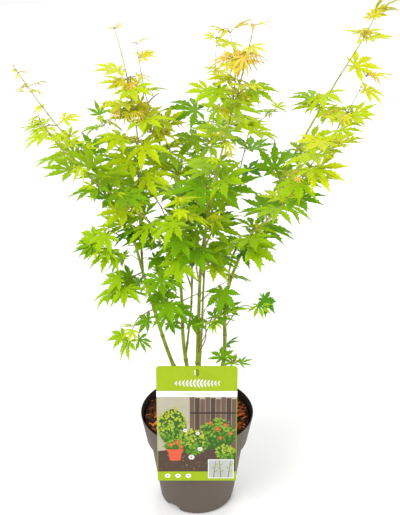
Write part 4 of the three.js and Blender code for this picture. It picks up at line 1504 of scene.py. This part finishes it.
class MAPLE_OT_pot(bpy.types.Operator):
    """The nursery pot with its wide band, thin lip and drain notches"""
    bl_idname = "maple.pot"
    bl_label = "Pot"
    bl_options = {"REGISTER", "UNDO"}

    def execute(self, context):
        pot = context.scene.maple_pot
        grain = shared("moulded_grain", grain_group)
        mesh = mesh_from(turned(pot_outline(pot), 144, notch_lift(pot)), "nursery_pot")
        mesh.set_sharp_from_angle(angle=math.radians(38))
        outside, inside = tuple(pot.outside), tuple(pot.inside)
        finishes = [plastic("pot_outside", outside, tuple(v * 1.2 for v in outside), grain, 0.58),
                    plastic("pot_inside", inside, tuple(v * 2.2 for v in inside), grain, 0.6)]
        add_piece("nursery_pot", mesh, finishes, ["pot"])
        return {"FINISHED"}


class MAPLE_OT_ground(bpy.types.Operator):
    """The bed of potting soil and the bark chips strewn over it"""
    bl_idname = "maple.ground"
    bl_label = "Bark mulch"
    bl_options = {"REGISTER", "UNDO"}

    def execute(self, context):
        ground = context.scene.maple_ground
        radius, top = SOIL_HIGH.x - 0.0002, SOIL_HIGH.z + ground.heap
        low = SOIL_HIGH.z - 0.012
        outline = [(0.0, low, 0), (radius - 0.002, low, 0), (radius - 0.0008, top - 0.003, 0)]
        outline += [(radius * share, top - 0.002, 0)
                    for share in (0.97, 0.9, 0.82, 0.74, 0.66, 0.58, 0.5, 0.42, 0.34, 0.26, 0.18, 0.1)]
        outline.append((0.0, top - 0.002, 0))
        bed = mesh_from(turned(outline, 96, bed_place(ground.seed)), "potting_soil")
        rng = random.Random(ground.seed)
        shelf = pattern_shelf("chip_patterns", [chip_pattern(f"chip_{k}", rng) for k in range(CHIP_PATTERNS)])
        chips = grown("bark_chips", bed.copy(), mulch_tree("strewn_chips"), {
            "Patterns": shelf, "Density": ground.chip_density, "Gap": ground.chip_gap,
            "Chip length": ground.chip_length, "Bed radius": radius, "Seed": ground.seed,
            "Finish": chip_finish("bark_chips", ground)})
        clear_shelf(shelf)
        soil = soil_finish("potting_soil", ground)
        add_piece("potting_soil", bed, [soil], ["bark_mulch_and_soil"])
        add_piece("bark_chips", chips)
        return {"FINISHED"}


class MAPLE_OT_card(bpy.types.Operator):
    """The picture card: the board in lime card and the print on its face"""
    bl_idname = "maple.card"
    bl_label = "Picture card"
    bl_options = {"REGISTER", "UNDO"}

    def execute(self, context):
        card = context.scene.maple_card
        grain = shared("moulded_grain", grain_group)
        board = NODES["picture_card"].data
        board.materials.clear()
        board.materials.append(print_finish("card_board", tuple(card.ground), grain))
        inks = [print_finish(name, colour, grain) for name, colour in INKS]
        add_piece("card_print", card_print(CardFace(), card.seed), inks)
        return {"FINISHED"}


def joints_along(path, gap, rng):
    """Distances from the foot at which a limb has a joint."""
    spots, spot = [], gap * rng.uniform(0.3, 0.8)
    while spot < path.lengths[-1]:
        spots.append(spot)
        spot += gap * rng.uniform(0.6, 1.2)
    return spots


def barked_lines(names, paths, limbs):
    """Line, thickness, joint mark, age and redness of each limb for its bark."""
    red = {"bough": 0.55, "shoot": 0.15, "stem": 0.0}
    lines = []
    for name in names:
        rng = random.Random(name)
        path = paths[name]
        thin = name.startswith(("shoot_", "bough_"))
        spots = joints_along(path, limbs.knuckle_gap * (0.6 if thin else 1.0), rng)
        points, thickness, marks, ages = [], [], [], []
        step = 0.003 if thin else 0.0025
        for k in range(int(path.lengths[-1] / step) + 1):
            point, _, radius = path.at(k * step)
            mark = max((math.exp(-((k * step - spot) / KNUCKLE_LENGTH) ** 2) for spot in spots), default=0.0)
            points.append(point)
            marks.append(mark * RING_STRENGTH)
            thickness.append(radius * (1 + limbs.knuckle * mark))
            ages.append(clamped((OLD_RADIUS - radius) / AGE_RANGE))
        lines.append((points, thickness, marks, ages, [red[name.split("_")[0]]] * len(points)))
    return lines


def tubes_of(piece, lines, settings):
    """The mesh of closed tubes that the tube tree wraps round lines."""
    return grown(piece, line_mesh(piece, lines, LINE_NUMBERS), shared("bark_tubes", tube_tree), settings)


class MAPLE_OT_limbs(bpy.types.Operator):
    """The trunk, stems, shoots and boughs with their bark"""
    bl_idname = "maple.limbs"
    bl_label = "Trunk and limbs"
    bl_options = {"REGISTER", "UNDO"}

    def execute(self, context):
        limbs = context.scene.maple_limbs
        paths = limb_paths()
        finish = bark("olive_bark", limbs)
        stems = [name for name in LIMB_NODES if name.startswith("stem_")]
        thin = [name for name in LIMB_NODES if not name.startswith("stem_")]
        for piece, names, slot, sides in (("barked_stems", stems, "old_bark", 12),
                                          ("barked_shoots", thin, "young_bark", 8)):
            mesh = tubes_of(piece, barked_lines(names, paths, limbs), {
                "Sides": sides, "Relief": limbs.relief, "Relief scale": 320.0, "Seed": 4, "Bark": finish})
            add_piece(piece, mesh, nodes=names)
        add_piece("barked_trunk", self.trunk(), [finish], ["trunk"])
        return {"FINISHED"}

    def trunk(self):
        """A short flared trunk, lobed at its foot where the roots spread."""
        low, high = TRUNK_LOW.z - 0.002, TRUNK_HIGH.z
        neck, flare, taper = 0.0080, 0.0075, 0.0012
        outline = [(0.0, low, 0)]
        for k in range(13):
            up = k / 12
            radius = neck + flare * (1 - up) ** 3 - taper * up
            outline.append((radius, low + (high - low) * up, 0))
        outline += [(0.0050, high + 0.0012, 0), (0.0, high + 0.0016, 0)]

        def place(point, angle):
            up = (point.z - low) / (high - low)
            rough = noise.noise(point * 180) * 0.07 + noise.noise(point * 60) * 0.06
            wide = 1 - 0.12 * math.sin(3 * angle) * (1 - up) + rough
            return Vector((point.x, point.y, 0)) * wide + UP * point.z
        mesh = mesh_from(turned(outline, 40, place), "barked_trunk")
        for label, value in (("knuckle", 0.15), ("age", 0.0), ("redness", 0.12)):
            number_points(mesh, label, [value] * len(mesh.vertices))
        return mesh


def whole_growth(scene):
    """Grows every spray on the limbs."""
    growth = Growth(scene.maple_leaves, limb_paths(), scene.maple_stage.camera_place)
    for mass in SPRAYS:
        growth.spray(mass)
    growth.lone_leaves()
    growth.young_bunches()
    growth.bare_twigs()
    return growth


def bowed(line, radii, rng, redness):
    """A short three-point line made a smooth path for the tubes."""
    path = Path(line, radii, 0.004)
    count = len(path.points)
    reds = [redness * rng.uniform(0.4, 1.2)] * count
    return path.points, path.radii, [0.0] * count, [1.0] * count, reds


class MAPLE_OT_twigs(bpy.types.Operator):
    """The side twigs and the stalks of the leaves"""
    bl_idname = "maple.twigs"
    bl_label = "Twigs and leaf stalks"
    bl_options = {"REGISTER", "UNDO"}

    def execute(self, context):
        growth = whole_growth(context.scene)
        leaves = context.scene.maple_leaves
        finish = bark("young_bark", context.scene.maple_limbs, 0.5)
        rng = random.Random(leaves.seed)
        twigs = [bowed(line, radii, rng, 0.6) for line, radii in growth.twigs]
        stalks = [bowed(line, [radius * leaves.stalk for radius in radii], rng, 0.45)
                  for line, radii in growth.stalks]
        for piece, lines, sides in (("twigs", twigs, 6), ("leaf_stalks", stalks, 5)):
            mesh = tubes_of(piece, lines, {
                "Sides": sides, "Relief": 0.0, "Relief scale": 300.0, "Seed": 2, "Bark": finish})
            add_piece(piece, mesh)
        return {"FINISHED"}


class MAPLE_OT_leaves(bpy.types.Operator):
    """The leaves, one joined piece for each tint"""
    bl_idname = "maple.leaves"
    bl_label = "Leaves"
    bl_options = {"REGISTER", "UNDO"}

    def execute(self, context):
        growth = whole_growth(context.scene)
        shelf = pattern_shelf("leaf_patterns", [leaf_pattern(*pattern) for pattern in LEAF_PATTERNS])
        tree = scatter_tree("leaves_on_points")
        main_tint = {mass: max(growth.homes, key=lambda tint: growth.homes[tint][mass]) for mass in SPRAYS}
        for tint, colour in TINTS:
            name, points = f"leaves_{tint}", growth.leaves[tint]
            if not points:
                raise RuntimeError(f"no leaf has the tint {tint}")
            mesh = grown(name, point_mesh(name, points), tree, {
                "Patterns": shelf, "Size": 1.0, "Finish": leaf_finish(f"leaf_{tint}", colour)})
            if not mesh.polygons:
                raise RuntimeError(f"the leaves of tint {tint} came out empty")
            add_piece(name, mesh, nodes=[mass for mass in SPRAYS if main_tint[mass] == tint])
        clear_shelf(shelf)
        return {"FINISHED"}


class MAPLE_PT_panel(bpy.types.Panel):
    """Settings and steps of the potted maple"""
    bl_idname = "MAPLE_PT_panel"
    bl_label = "Potted maple"
    bl_space_type = "VIEW_3D"
    bl_region_type = "UI"
    bl_category = "Maple"

    def draw(self, context):
        for settings, _, operators in PARTS:
            box = self.layout.box()
            group = getattr(context.scene, settings)
            for name in group.__annotations__:
                box.prop(group, name)
            for operator in operators:
                box.operator(operator.bl_idname)


# Settings of each step, their class and the operators that use them, in the order they run.
PARTS = [
    ("maple_stage", MAPLE_PG_stage, [MAPLE_OT_stage]),
    ("maple_pot", MAPLE_PG_pot, [MAPLE_OT_pot]),
    ("maple_ground", MAPLE_PG_ground, [MAPLE_OT_ground]),
    ("maple_card", MAPLE_PG_card, [MAPLE_OT_card]),
    ("maple_limbs", MAPLE_PG_limbs, [MAPLE_OT_limbs]),
    ("maple_leaves", MAPLE_PG_leaves, [MAPLE_OT_twigs, MAPLE_OT_leaves]),
]
OPERATORS = [operator for *_, operators in PARTS for operator in operators]
CLASSES = [*[group for _, group, _ in PARTS], *OPERATORS, MAPLE_PT_panel]


def register():
    for cls in CLASSES:
        bpy.utils.register_class(cls)
    for name, group, _ in PARTS:
        setattr(bpy.types.Scene, name, PointerProperty(type=group))


def unregister():
    for name, *_ in PARTS:
        delattr(bpy.types.Scene, name)
    for cls in reversed(CLASSES):
        bpy.utils.unregister_class(cls)


def main():
    register()
    for operator in OPERATORS:
        getattr(bpy.ops.maple, operator.bl_idname.split(".")[1])()


if __name__ == "__main__":
    main()
